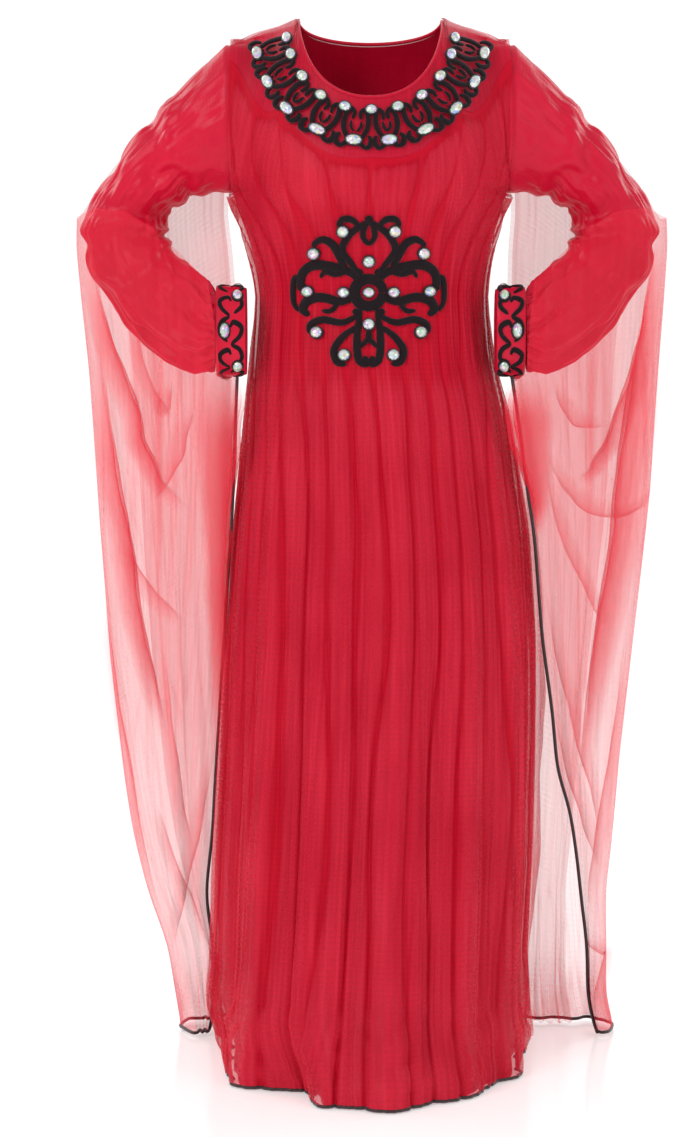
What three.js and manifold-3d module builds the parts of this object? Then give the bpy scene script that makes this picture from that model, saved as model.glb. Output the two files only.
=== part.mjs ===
// Butterfly kaftan: a satin gown with bishop sleeves under a sheer mesh layer whose wings
// hang from the arms to the floor. It stands in its worn form, hollow and open.
// Millimetres, +Z up, +X to the viewer's right, the front faces -Y.
// Heights in the tables are above the floor. The whole group is lowered at the end, so that
// the origin lies between the shoulders, where the garment is held.

import * as THREE from 'three';
import Module from 'manifold-3d';
import { mergeVertices } from 'three/addons/utils/BufferGeometryUtils.js';

const wasm = await Module();
wasm.setup();

// Driving sizes
const SHOULDER_HEIGHT = 1372;
const SATIN_WALL = 1.6;
const SHEER_WALL = 1.1;
const OVERLAY_GAP = 1.8;
const OVERLAY_GAP_HIGH = 3.8;
const CORNER_GAP = 3.2;
const CORNER_SPREAD = 0.15;
const ARMHOLE_GAP = 2.4;
const SEAM_GAP = 0.45;
const SHOULDER_SEAM = 0.9;
const BUST_Z = 1120;
const ARMPIT_Z = 1160;
const ARMHOLE_X = 188;
const ARMHOLE_Y = 15;
const ARMHOLE_TALL = 98;
const ARMHOLE_DEEP = 58;
const NECK_HALF = 95;
const NECK_SIDE_Z = 1385;
const NECK_DROP_FRONT = 118;
const NECK_DROP_BACK = 24;
const NECK_SQUARENESS = 2.2;
const NECK_SHARE = 0.5;
const SHOULDER_ROUND = 125;
const WAIST_Z = 1017;
const MEDALLION_HALF = 100;
const HEM_LIFT = 5;
const PLAN_REACH = 25;
const YOKE_REACH = 0.06;
const YOKE_BACK_SHARE = 0.8;
const GATHER_WAVES = 12;
const FLAT_MARGIN = 42;
const WING_HEM = 8;
const FRONT = -1;
const BACK = 1;

// Plan of the gown at each height: side seams, and depth at the centre front and back
const BODY = [
  { z: 0, left: -196, right: 190, front: -345, back: 230 },
  { z: 40, left: -198, right: 190, front: -325, back: 222 },
  { z: 120, left: -196, right: 194, front: -285, back: 205 },
  { z: 250, left: -194, right: 202, front: -240, back: 190 },
  { z: 400, left: -188, right: 208, front: -205, back: 176 },
  { z: 550, left: -182, right: 210, front: -180, back: 165 },
  { z: 700, left: -175, right: 203, front: -160, back: 155 },
  { z: 850, left: -162, right: 180, front: -140, back: 145 },
  { z: 930, left: -155, right: 160, front: -126, back: 132 },
  { z: 1017, left: -148, right: 152, front: -108, back: 102 },
  { z: 1090, left: -162, right: 162, front: -122, back: 96 },
  { z: 1150, left: -186, right: 184, front: -138, back: 100 },
  { z: 1210, left: -190, right: 189, front: -132, back: 106 },
  { z: 1270, left: -191, right: 190, front: -114, back: 106 },
  { z: 1400, left: -192, right: 191, front: -100, back: 98 },
];

// Broad folds of the satin skirt: place across a panel from seam to seam, width and depth
const BROAD_FOLDS = [
  { face: FRONT, at: -0.82, width: 0.17, depth: 13 },
  { face: FRONT, at: -0.5, width: 0.15, depth: 17 },
  { face: FRONT, at: -0.2, width: 0.13, depth: 12 },
  { face: FRONT, at: 0.07, width: 0.14, depth: 18 },
  { face: FRONT, at: 0.36, width: 0.14, depth: 13 },
  { face: FRONT, at: 0.62, width: 0.13, depth: 17 },
  { face: FRONT, at: 0.88, width: 0.11, depth: 10 },
  { face: BACK, at: -0.72, width: 0.2, depth: 14 },
  { face: BACK, at: -0.3, width: 0.2, depth: 18 },
  { face: BACK, at: 0.12, width: 0.2, depth: 14 },
  { face: BACK, at: 0.55, width: 0.22, depth: 18 },
];

// Depth of the overlay's fine gathers at each height
const GATHERS = [
  { z: 0, depth: 9 },
  { z: 300, depth: 8 },
  { z: 700, depth: 6 },
  { z: 950, depth: 3.5 },
  { z: 1017, depth: 1.5 },
  { z: 1100, depth: 3 },
  { z: 1200, depth: 3.5 },
  { z: 1300, depth: 1.5 },
  { z: 1400, depth: 0.6 },
];

// How far below the neck and shoulder edge the smooth yoke ends, across half a panel
const YOKE = [
  { across: 0, deep: 76 },
  { across: 0.35, deep: 100 },
  { across: 0.5, deep: 132 },
  { across: 0.6, deep: 128 },
  { across: 0.75, deep: 96 },
  { across: 1, deep: 24 },
];

// Rings of the satin sleeve for one arm: inner and outer edge seen from the front
const SLEEVE = [
  { inX: 189.8, inZ: 1160, outX: 189.8, outZ: 1356, y: 15, deep: 60 },
  { inX: 214, inZ: 1158, outX: 243, outZ: 1315, y: 22, deep: 60 },
  { inX: 240, inZ: 1153, outX: 292, outZ: 1266, y: 34, deep: 56 },
  { inX: 262, inZ: 1143, outX: 340, outZ: 1208, y: 45, deep: 52 },
  { inX: 277, inZ: 1128, outX: 380, outZ: 1156, y: 52, deep: 49 },
  { inX: 280, inZ: 1110, outX: 397, outZ: 1104, y: 54, deep: 48 },
  { inX: 272, inZ: 1090, outX: 386, outZ: 1058, y: 46, deep: 48 },
  { inX: 256, inZ: 1071, outX: 356, outZ: 1010, y: 24, deep: 48 },
  { inX: 238, inZ: 1054, outX: 318, outZ: 966, y: -6, deep: 46 },
  { inX: 222, inZ: 1040, outX: 276, outZ: 930, y: -38, deep: 43 },
  { inX: 210, inZ: 1030, outX: 234, outZ: 908, y: -60, deep: 38 },
  { inX: 204, inZ: 1022, outX: 204, outZ: 914, y: -70, deep: 31 },
];
const CUFF = {
  from: 204, to: 165, y: -71, z: 968, tallOut: 59, tallIn: 56, deepOut: 33, deepIn: 30, wall: 2.4,
};

// What the wing hangs over behind the upper arm, by distance from the centre
const UPPER_ARM = [
  { x: 196, top: 1358, mid: 1264, y: 15, deep: 62 },
  { x: 228, top: 1334, mid: 1250, y: 21, deep: 61 },
  { x: 266, top: 1299, mid: 1224, y: 33, deep: 58 },
  { x: 301, top: 1261, mid: 1186, y: 44, deep: 54 },
  { x: 340, top: 1216, mid: 1150, y: 53, deep: 51 },
  { x: 372, top: 1176, mid: 1124, y: 54, deep: 50 },
  { x: 400, top: 1130, mid: 1106, y: 54, deep: 50 },
];

// What it hangs over in front of the forearm, and where its upper edge is sewn
const FOREARM = [
  { x: 176, top: 898, mid: 904, y: -72, deep: 20 },
  { x: 199, top: 904, mid: 910, y: -72, deep: 40 },
  { x: 207, top: 985, mid: 991, y: -70, deep: 44 },
  { x: 214, top: 1036, mid: 1042, y: -70, deep: 44 },
  { x: 236, top: 1058, mid: 1064, y: -60, deep: 46 },
  { x: 262, top: 1084, mid: 1040, y: -38, deep: 48 },
  { x: 290, top: 1110, mid: 1116, y: -10, deep: 50 },
  { x: 330, top: 1134, mid: 1140, y: 30, deep: 50 },
  { x: 372, top: 1140, mid: 1146, y: 52, deep: 50 },
  { x: 400, top: 1130, mid: 1136, y: 54, deep: 50 },
];

// Outlines of the two wings: outer fold, piped front edge and inner back edge
const WING_LEFT = [
  { z: 0, out: 262, edge: 222, inner: 218 },
  { z: 50, out: 270, edge: 220, inner: 216 },
  { z: 120, out: 281, edge: 217, inner: 214 },
  { z: 200, out: 309, edge: 228, inner: 213 },
  { z: 280, out: 328, edge: 218, inner: 211 },
  { z: 360, out: 340, edge: 213, inner: 207 },
  { z: 523, out: 358, edge: 202, inner: 200 },
  { z: 741, out: 374, edge: 186, inner: 192 },
  { z: 918, out: 386, edge: 178, inner: 184 },
  { z: 1013, out: 396, edge: 177, inner: 184 },
  { z: 1090, out: 403, edge: 177, inner: 190 },
  { z: 1130, out: 401, edge: 177, inner: 196 },
  { z: 1235, out: 401, edge: 177, inner: 191 },
  { z: 1370, out: 401, edge: 177, inner: 190.9 },
];
const WING_RIGHT = [
  { z: 0, out: 343, edge: 318, inner: 212 },
  { z: 50, out: 331, edge: 304, inner: 214 },
  { z: 127, out: 331, edge: 302, inner: 218 },
  { z: 199, out: 330, edge: 292, inner: 222 },
  { z: 251, out: 336, edge: 286, inner: 225 },
  { z: 320, out: 342, edge: 275, inner: 229 },
  { z: 377, out: 346, edge: 256, inner: 231 },
  { z: 455, out: 354, edge: 249, inner: 232 },
  { z: 553, out: 365, edge: 234, inner: 231 },
  { z: 700, out: 381, edge: 221, inner: 224 },
  { z: 768, out: 388, edge: 209, inner: 218 },
  { z: 918, out: 397, edge: 186, inner: 198 },
  { z: 1013, out: 404, edge: 180, inner: 190 },
  { z: 1096, out: 409, edge: 180, inner: 192 },
  { z: 1130, out: 406, edge: 180, inner: 196 },
  { z: 1235, out: 406, edge: 180, inner: 191 },
  { z: 1370, out: 406, edge: 180, inner: 190.9 },
];

// Depths of the wings' layers below the arm, behind and in front
const WING_DEPTH = [
  { z: 0, back: 92, second: 58, fold: 14, edge: 22 },
  { z: 150, back: 98, second: 60, fold: 6, edge: 4 },
  { z: 400, back: 108, second: 64, fold: -10, edge: -32 },
  { z: 700, back: 114, second: 74, fold: -24, edge: -66 },
  { z: 900, back: 120, second: 98, fold: -10, edge: -76 },
  { z: 1370, back: 120, second: 98, fold: -10, edge: -76 },
];
const PIPING_RADIUS = 1.9;
const BINDING_RADIUS = 2;
const WING_CLEAR = 6;
const SECOND_CLEAR = 0.95;
const WING_WAVE = 9;
const WAVE_PER_COLUMN = 1.9;
const FOLD_CALM = 0.4;
const FREE_BELOW_Z = 700;
const ARM_Z = 1250;
const OUTLINE_REACH = 20;
const HANG_STEPS = [0, 0.012, 0.03, 0.06, 0.11, 0.18, 0.29, 0.43, 0.6, 0.8, 1];

// Grid densities
const GOWN_ROWS = [0, 60, 200, 400, 630, 840, 940, 1017, 1070, 1120];
const ROWS_TO_YOKE = 3;
const ROWS_IN_YOKE = 2;
const FRONT_NECK_COLUMNS = 14;
const BACK_NECK_COLUMNS = 6;
const SIDE_COLUMNS = 4;
const RING_SIDES = 12;

// Scrollwork and stones
const VELVET_THICK = 2;
const VELVET_GAP = 1.8;
const COLLAR_LIFT = 1.1;
const DOT_PROUD = 0.6;
const MERGE = 1e-4;
const JOIN_TOLERANCE = 0.65;
const STONE_SIDES = 7;
const STONE_SEAT = 1.6;
const STONE_TALL = 4.2;
const COLLAR_STONE = 6.3;
const WAIST_STONE = 7.2;
const COLLAR_TURN = 0.88;
const COLLAR_UNITS = 10;
const WAIST_X = -3;
const WAIST_DIP = 0.45;
const CUFF_WAVES = 5;
const CUFF_WAVE_POINTS = 30;
const CUFF_SWING = 0.26;
const CUFF_RIBBON = 3;
const CUFF_GAP = 1.2;

const SATIN = new THREE.MeshStandardMaterial({ color: 0xd2142f, roughness: 0.38, metalness: 0 });
const SHEER = new THREE.MeshStandardMaterial({
  color: 0xf0303f, roughness: 0.8, metalness: 0, transparent: true, opacity: 0.45, side: THREE.DoubleSide,
});
const VELVET = new THREE.MeshStandardMaterial({ color: 0x14090c, roughness: 0.95, metalness: 0 });
const PIPING = new THREE.MeshStandardMaterial({ color: 0x1c0a0d, roughness: 0.5, metalness: 0 });
const CRYSTAL = new THREE.MeshStandardMaterial({ color: 0xdfe6ea, roughness: 0.08, metalness: 0.2 });

// Small helpers

const lerp = (a, b, t) => a + (b - a) * t;
const clamp = (value, low = 0, high = 1) => Math.min(Math.max(value, low), high);

function ramp(from, to, value) {
  const t = clamp((value - from) / (to - from));
  return t * t * (3 - 2 * t);
}

// Straight reading of one column of a table whose rows rise along another column
function readTable(rows, along, column, at) {
  const t = clamp(at, rows[0][along], rows[rows.length - 1][along]);
  let i = 0;
  while (i < rows.length - 2 && rows[i + 1][along] < t) i += 1;
  const share = (t - rows[i][along]) / (rows[i + 1][along] - rows[i][along]);
  return lerp(rows[i][column], rows[i + 1][column], share);
}

// The same reading rounded off by averaging over a short stretch on both sides
function readSmooth(rows, along, column, at, reach) {
  const low = readTable(rows, along, column, at - reach);
  const high = readTable(rows, along, column, at + reach);
  return (low + 2 * readTable(rows, along, column, at) + high) / 4;
}

function makeGrid(rowCount, columnCount, place) {
  const grid = [];
  for (let j = 0; j < rowCount; j += 1) {
    const row = [];
    for (let i = 0; i < columnCount; i += 1) row.push(place(i, j));
    grid.push(row);
  }
  return grid;
}

// Unit normal of a grid at one point: across direction times up direction
function gridNormal(grid, i, j, closed) {
  const count = grid[0].length;
  const before = closed ? (i + count - 1) % count : Math.max(i - 1, 0);
  const after = closed ? (i + 1) % count : Math.min(i + 1, count - 1);
  const across = grid[j][after].clone().sub(grid[j][before]);
  const up = grid[Math.min(j + 1, grid.length - 1)][i].clone().sub(grid[Math.max(j - 1, 0)][i]);
  return across.cross(up).normalize();
}

function offsetGrid(grid, distance, closed = false) {
  return makeGrid(grid.length, grid[0].length, (i, j) => {
    const away = typeof distance === 'function' ? distance(i, j) : distance;
    return grid[j][i].clone().addScaledVector(gridNormal(grid, i, j, closed), away);
  });
}

// A closed wall between two grids of the same size; closed grids run round a tube
function wallBetween(sideA, sideB, closed = false) {
  const rows = sideA.length;
  const columns = sideA[0].length;
  const positions = [];
  for (const grid of [sideA, sideB]) {
    for (const row of grid) for (const point of row) positions.push(point.x, point.y, point.z);
  }
  const a = (i, j) => j * columns + (i % columns);
  const b = (i, j) => rows * columns + a(i, j);
  const faces = [];
  const quad = (p, q, r, s) => faces.push(p, q, r, p, r, s);
  const spans = closed ? columns : columns - 1;
  for (let j = 0; j < rows - 1; j += 1) {
    for (let i = 0; i < spans; i += 1) {
      quad(a(i, j), a(i + 1, j), a(i + 1, j + 1), a(i, j + 1));
      quad(b(i, j), b(i, j + 1), b(i + 1, j + 1), b(i + 1, j));
    }
  }
  const top = rows - 1;
  for (let i = 0; i < spans; i += 1) {
    quad(a(i, 0), b(i, 0), b(i + 1, 0), a(i + 1, 0));
    quad(a(i, top), a(i + 1, top), b(i + 1, top), b(i, top));
  }
  if (!closed) {
    const last = columns - 1;
    for (let j = 0; j < top; j += 1) {
      quad(a(0, j), a(0, j + 1), b(0, j + 1), b(0, j));
      quad(a(last, j), b(last, j), b(last, j + 1), a(last, j + 1));
    }
  }
  return facingOut(positions, faces);
}

// Turns the faces round where they enclose a negative volume
function facingOut(positions, faces) {
  const at = (n) => new THREE.Vector3(positions[3 * n], positions[3 * n + 1], positions[3 * n + 2]);
  let volume = 0;
  for (let f = 0; f < faces.length; f += 3) {
    volume += at(faces[f]).dot(at(faces[f + 1]).cross(at(faces[f + 2])));
  }
  if (volume < 0) faces.reverse();
  const geometry = new THREE.BufferGeometry();
  geometry.setAttribute('position', new THREE.Float32BufferAttribute(positions, 3));
  geometry.setIndex(faces);
  return geometry;
}

// A square cord along a line of points; an open one carries its sides along without a twist
function cordGeometry(points, radius, closed = false) {
  const count = points.length;
  const corners = [];
  let side = null;
  for (let n = 0; n < count; n += 1) {
    const before = points[closed ? (n + count - 1) % count : Math.max(n - 1, 0)];
    const after = points[closed ? (n + 1) % count : Math.min(n + 1, count - 1)];
    const along = after.clone().sub(before).normalize();
    const steep = Math.abs(along.z) > 0.9;
    const level = along.clone().cross(new THREE.Vector3(0, steep ? 1 : 0, steep ? 0 : 1));
    const carried = side === null || closed ? level : side;
    side = carried.clone().addScaledVector(along, -carried.dot(along)).normalize();
    const over = side.clone().cross(along).normalize();
    corners.push([
      points[n].clone().addScaledVector(side, radius).addScaledVector(over, radius),
      points[n].clone().addScaledVector(side, -radius).addScaledVector(over, radius),
      points[n].clone().addScaledVector(side, -radius).addScaledVector(over, -radius),
      points[n].clone().addScaledVector(side, radius).addScaledVector(over, -radius),
    ]);
  }
  const positions = [];
  for (const ring of corners) for (const point of ring) positions.push(point.x, point.y, point.z);
  const faces = [];
  const spans = closed ? count : count - 1;
  for (let n = 0; n < spans; n += 1) {
    const here = 4 * n;
    const next = 4 * ((n + 1) % count);
    for (let k = 0; k < 4; k += 1) {
      const turn = (k + 1) % 4;
      faces.push(here + k, here + turn, next + turn, here + k, next + turn, next + k);
    }
  }
  if (!closed) {
    const end = 4 * (count - 1);
    faces.push(0, 2, 1, 0, 3, 2, end, end + 1, end + 2, end, end + 2, end + 3);
  }
  return facingOut(positions, faces);
}

const garment = new THREE.Group();

function addPiece(parent, name, geometry, material) {
  const mesh = new THREE.Mesh(geometry, material);
  mesh.name = name;
  parent.add(mesh);
  return mesh;
}

// The gown's surface

function bodyPlan(z) {
  const left = readSmooth(BODY, 'z', 'left', z, PLAN_REACH);
  const right = readSmooth(BODY, 'z', 'right', z, PLAN_REACH);
  return {
    centre: (left + right) / 2,
    half: (right - left) / 2,
    front: readSmooth(BODY, 'z', 'front', z, PLAN_REACH),
    back: readSmooth(BODY, 'z', 'back', z, PLAN_REACH),
  };
}

const SHOULDER_POINT_Z = ARMPIT_Z + 2 * ARMHOLE_TALL;
const SHOULDER_SLOPE = (NECK_SIDE_Z - SHOULDER_POINT_Z) / (ARMHOLE_X - NECK_HALF);

// Height of the shoulder seam, carried on flatter over the neck opening
function shoulderLine(x) {
  const beyond = Math.abs(x) - NECK_HALF;
  return NECK_SIDE_Z - beyond * (beyond > 0 ? SHOULDER_SLOPE : 0.1);
}

// Depth of the cloth at a place seen from the front, closing over the shoulders at the top
function clothDepth(face, x, z) {
  const plan = bodyPlan(z);
  const side = clamp((x - plan.centre) / plan.half, -1, 1);
  const reach = face === FRONT ? plan.front : plan.back;
  const body = reach * Math.sqrt(1 - side * side);
  const rise = clamp(1 - (shoulderLine(x) - z) / SHOULDER_ROUND);
  return ARMHOLE_Y + (body - ARMHOLE_Y) * Math.sqrt(1 - rise * rise);
}

function armholeDepth(face, z) {
  const up = clamp((z - ARMPIT_Z - ARMHOLE_TALL) / ARMHOLE_TALL, -1, 1);
  return ARMHOLE_Y + face * ARMHOLE_DEEP * Math.sqrt(1 - up * up);
}

// A point of the neckline seen from the front; turn runs from -1 to 1 round the scoop
function neckEdge(face, turn) {
  const angle = turn * Math.PI / 2;
  const drop = face === FRONT ? NECK_DROP_FRONT : NECK_DROP_BACK;
  const power = 2 / NECK_SQUARENESS;
  const x = NECK_HALF * Math.sign(turn) * Math.abs(Math.sin(angle)) ** power;
  const z = NECK_SIDE_Z - drop * Math.abs(Math.cos(angle)) ** power;
  return { x, z };
}

function topEdge(face, across) {
  const share = Math.abs(across);
  if (share <= NECK_SHARE) return neckEdge(face, across / NECK_SHARE);
  const out = (share - NECK_SHARE) / (1 - NECK_SHARE);
  const x = lerp(NECK_HALF, ARMHOLE_X, out);
  const z = lerp(NECK_SIDE_Z, SHOULDER_POINT_Z, out);
  return { x: x * Math.sign(across), z };
}

function broadFold(face, across, z) {
  let depth = 0;
  for (const fold of BROAD_FOLDS) {
    const away = Math.abs(across - fold.at) / fold.width;
    if (fold.face === face && away < 1) depth += fold.depth * Math.cos(away * Math.PI / 2) ** 2;
  }
  return depth * (1 - ramp(150, 960, z) * 0.75) * (1 - ramp(860, 985, z));
}

// Rows below the bust have fixed heights; above it they reach the yoke seam, then the top edge
const PANEL_ROWS = [
  ...GOWN_ROWS.map((z) => () => z),
  ...steps(ROWS_TO_YOKE).map((share) => (face, across) => lerp(BUST_Z, yokeSeamZ(face, across), share)),
  ...steps(ROWS_IN_YOKE).map((share) => (face, across) => (
    lerp(yokeSeamZ(face, across), topEdge(face, across).z, share))),
];
const SEAM_ROW = GOWN_ROWS.length + ROWS_TO_YOKE - 1;

function steps(count) {
  return Array.from({ length: count }, (_, n) => (n + 1) / count);
}

// The smooth yoke ends this high on each column
function yokeSeamZ(face, across) {
  const deep = readSmooth(YOKE, 'across', 'deep', Math.abs(across), YOKE_REACH);
  return topEdge(face, across).z - (face === FRONT ? deep : deep * YOKE_BACK_SHARE);
}

function panelPoint(face, across, row) {
  const edge = topEdge(face, across);
  const z = row(face, across);
  const plan = bodyPlan(z);
  const angle = across * Math.PI / 2;
  const straight = plan.centre + plan.half * Math.sin(angle);
  const x = lerp(straight, edge.x, ramp(BUST_Z, edge.z, z));
  const toSide = ramp(0.4, 1, Math.abs(across)) * ramp(1080, ARMPIT_Z + 10, z);
  const apart = SEAM_GAP + SHOULDER_SEAM * ramp(1240, 1340, z);
  const y = lerp(clothDepth(face, x, z), armholeDepth(face, z), toSide) + face * apart;
  const reach = Math.abs(face === FRONT ? plan.front : plan.back);
  const out = new THREE.Vector3(Math.sin(angle) * reach, face * Math.cos(angle) * plan.half, 0).normalize();
  return new THREE.Vector3(x, y, z).addScaledVector(out, broadFold(face, across, z));
}

// Places of a panel's columns from seam to seam, with more of them across the neck
function panelColumns(neckColumns) {
  const neck = [-NECK_SHARE, ...steps(neckColumns).map((share) => lerp(-NECK_SHARE, NECK_SHARE, share))];
  const side = steps(SIDE_COLUMNS).map((share) => lerp(NECK_SHARE, 1, share));
  return [...side.map((place) => -place).reverse(), ...neck, ...side];
}

// Twice as many columns, each new one halfway along the faceted wall
function refineColumns(grid) {
  return grid.map((row) => {
    const fine = [row[0]];
    for (let i = 1; i < row.length; i += 1) fine.push(row[i - 1].clone().lerp(row[i], 0.5), row[i]);
    return fine;
  });
}

// Fine gathers of the sheer layer, flat where the waist ornament lies on it
function gatherDepth(across, point) {
  const depth = readTable(GATHERS, 'z', 'depth', point.z);
  const flatX = ramp(MEDALLION_HALF + FLAT_MARGIN, MEDALLION_HALF, Math.abs(point.x));
  const flatZ = ramp(MEDALLION_HALF + FLAT_MARGIN, MEDALLION_HALF, Math.abs(point.z - WAIST_Z));
  const wave = 0.5 - 0.5 * Math.cos(across * Math.PI * GATHER_WAVES + 0.7 * Math.sin(across * 9));
  return depth * wave * (1 - flatX * flatZ);
}

// Space between the satin and the layer over it, wider round the shoulders and armholes
function layerGap(across, z) {
  const share = Math.abs(across);
  const corner = clamp(1 - Math.abs(share - NECK_SHARE) / CORNER_SPREAD);
  const high = OVERLAY_GAP_HIGH + CORNER_GAP * corner + ARMHOLE_GAP * ramp(0.6, 0.95, share);
  return lerp(OVERLAY_GAP, high, ramp(BUST_Z, ARMPIT_Z, z));
}

function buildPanel(face, label, neckColumns) {
  const places = panelColumns(neckColumns);
  const gown = makeGrid(PANEL_ROWS.length, places.length, (i, j) => (
    panelPoint(face, places[i], PANEL_ROWS[j])));
  const outward = face === FRONT ? 1 : -1;
  const inside = offsetGrid(gown, -outward * SATIN_WALL);
  for (const point of inside[0]) point.z = 0;
  addPiece(garment, `gown_${label}`, wallBetween(gown, inside), SATIN);

  // The sheer layer lies on the gown's own rows, up to the yoke seam
  const split = face === FRONT ? 2 : 1;
  const fine = split === 2 ? refineColumns(gown) : gown;
  const across = (i) => (places[Math.floor(i / split)] + places[Math.ceil(i / split)]) / 2;
  const overlay = (distance) => {
    const full = offsetGrid(fine, (i, j) => (
      outward * (layerGap(across(i), fine[j][i].z) + gatherDepth(across(i), fine[j][i]) + distance)));
    const rows = full.slice(0, SEAM_ROW + 1);
    for (const point of rows[0]) point.z = HEM_LIFT;
    for (let i = 0; i < rows[SEAM_ROW].length; i += 1) {
      const span = rows[SEAM_ROW][i].distanceTo(rows[SEAM_ROW - 1][i]);
      rows[SEAM_ROW][i].lerp(rows[SEAM_ROW - 1][i], SEAM_GAP / span);
    }
    return rows;
  };
  const overlayWall = wallBetween(overlay(SHEER_WALL), overlay(0));
  const overlayMesh = addPiece(garment, `overlay_${label}`, overlayWall, SHEER);

  const yoke = (distance) => (
    offsetGrid(fine, (i, j) => outward * (layerGap(across(i), fine[j][i].z) + distance)).slice(SEAM_ROW));
  const yokeMesh = addPiece(garment, `yoke_${label}`, wallBetween(yoke(SHEER_WALL), yoke(0)), SATIN);
  return { gown, outward, layers: [overlayMesh, yokeMesh] };
}

const frontPanel = buildPanel(FRONT, 'front', FRONT_NECK_COLUMNS);
const backPanel = buildPanel(BACK, 'back', BACK_NECK_COLUMNS);
const frontLayers = frontPanel.layers;

// Black piping under the overlay's hem and the narrow binding of the neck

for (const [label, panel] of [['front', frontPanel], ['back', backPanel]]) {
  const hem = offsetGrid(panel.gown, panel.outward * (OVERLAY_GAP + PIPING_RADIUS))[0];
  for (const point of hem) point.z = HEM_LIFT - SEAM_GAP - PIPING_RADIUS;
  addPiece(garment, `hem_piping_${label}`, cordGeometry(hem, PIPING_RADIUS), PIPING);
}

function neckLine({ gown, outward }) {
  const lifted = offsetGrid(gown, outward * OVERLAY_GAP_HIGH / 2);
  const [below, top] = lifted.slice(-2);
  const points = top.map((point, i) => {
    const onward = point.clone().sub(below[i]).normalize();
    return point.clone().addScaledVector(onward, BINDING_RADIUS * 3 + SEAM_GAP);
  });
  return points.slice(SIDE_COLUMNS, points.length - SIDE_COLUMNS);
}
const binding = [...neckLine(frontPanel), ...neckLine(backPanel).reverse().slice(1, -1)];
addPiece(garment, 'neck_binding', cordGeometry(binding, BINDING_RADIUS, true), SATIN);

// Sleeves and cuffs

function sleeveRing(ring, side, angle, extra) {
  const middle = new THREE.Vector3((ring.inX + ring.outX) / 2, ring.y, (ring.inZ + ring.outZ) / 2);
  const outer = new THREE.Vector3(ring.outX, ring.y, ring.outZ).sub(middle);
  const tall = outer.length();
  const point = middle.addScaledVector(outer.normalize(), Math.cos(angle) * (tall + extra));
  point.y += Math.sin(angle) * (ring.deep + extra);
  point.x *= side;
  return point;
}

function buildSleeve(side, label) {
  const grid = (extra) => makeGrid(SLEEVE.length, RING_SIDES, (i, j) => (
    sleeveRing(SLEEVE[j], side, (i / RING_SIDES) * 2 * Math.PI, extra)));
  addPiece(garment, `sleeve_${label}`, wallBetween(grid(0), grid(-SATIN_WALL), true), SATIN);

  const cuffRing = (share, extra) => (i) => {
    const angle = (i / RING_SIDES) * 2 * Math.PI;
    const tall = lerp(CUFF.tallOut, CUFF.tallIn, share) + extra;
    const deep = lerp(CUFF.deepOut, CUFF.deepIn, share) + extra;
    const x = lerp(CUFF.from - SEAM_GAP, CUFF.to, share);
    return new THREE.Vector3(side * x, CUFF.y + deep * Math.sin(angle), CUFF.z + tall * Math.cos(angle));
  };
  const cuff = (extra) => makeGrid(2, RING_SIDES, (i, j) => cuffRing(j, extra)(i));
  addPiece(garment, `cuff_${label}`, wallBetween(cuff(0), cuff(-CUFF.wall), true), SATIN);
}

// Wings

// Columns of the outer wing: the back run, round the elbow fold, then the front run to the edge
const BACK_RUN = 7;
const FOLD_RUN = 6;
const FRONT_RUN = 8;
const FOLD_LENGTH = 58;

function wingColumn(n) {
  if (n <= BACK_RUN) return { face: BACK, share: n / BACK_RUN, turn: 0 };
  if (n < BACK_RUN + FOLD_RUN) {
    const turn = (n - BACK_RUN) / FOLD_RUN;
    return { face: turn < 0.5 ? BACK : FRONT, share: 1, turn };
  }
  return { face: FRONT, share: 1 - (n - BACK_RUN - FOLD_RUN) / FRONT_RUN, turn: 1 };
}

// How far the cloth at a height hangs free of the arm, from 0 to 1, and how deep it waves there
const hanging = (z) => 1 - ramp(FREE_BELOW_Z, FREE_BELOW_Z + 200, z);
const wingWave = (z) => WING_WAVE * (1 - ramp(250, 1000, z));

function wingPoint(side, n, step) {
  const table = side < 0 ? WING_LEFT : WING_RIGHT;
  const column = wingColumn(n);
  const outline = (name, z) => readSmooth(table, 'z', name, z, OUTLINE_REACH);
  const reachX = (z) => {
    const foldStart = outline('out', z) - FOLD_LENGTH * lerp(0.45, 1, ramp(0, 900, z));
    const inner = column.face === BACK ? outline('inner', z) : outline('edge', z);
    const swing = Math.sin(Math.PI * column.turn);
    return lerp(inner, foldStart, column.share) + (outline('out', z) - foldStart) * swing;
  };
  const arm = column.face === BACK ? UPPER_ARM : FOREARM;
  const highX = reachX(ARM_Z);
  const top = readTable(arm, 'x', 'top', highX);
  const z = lerp(top, WING_HEM, step);
  const x = reachX(z);
  const read = (name) => readTable(arm, 'x', name, x);
  const depth = (name) => readTable(WING_DEPTH, 'z', name, z);
  const mid = readTable(arm, 'x', 'mid', highX);
  const rise = clamp((z - mid) / Math.max(top - mid, 1));
  const wrap = Math.sqrt(1 - rise * rise);
  const foldY = (depth('back') + depth('fold')) / 2;
  const roundOff = Math.abs(Math.cos(Math.PI * column.turn));
  const armY = read('y') + column.face * (read('deep') + WING_CLEAR) * wrap * roundOff;
  const freeY = column.face === BACK ? depth('back') : lerp(depth('edge'), depth('fold'), column.share);
  const hangY = foldY + (freeY - foldY) * roundOff;
  const calm = column.turn > 0 && column.turn < 1 ? FOLD_CALM : 1;
  const wave = wingWave(z) * calm * Math.sin(n * WAVE_PER_COLUMN + side);
  return new THREE.Vector3(side * x, lerp(armY, hangY, hanging(z)) + wave, z);
}

const WING_COLUMNS = BACK_RUN + FOLD_RUN + FRONT_RUN + 1;

// The second layer lies within the outer one and starts part of the way up the arm
const SECOND_COLUMNS = 10;
const SECOND_INSET = { inner: 6, out: 56 };
const SECOND_START = 0.45;
const SECOND_WAVES = 31;
const ELBOW = { from: 341, length: 64 };

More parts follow.
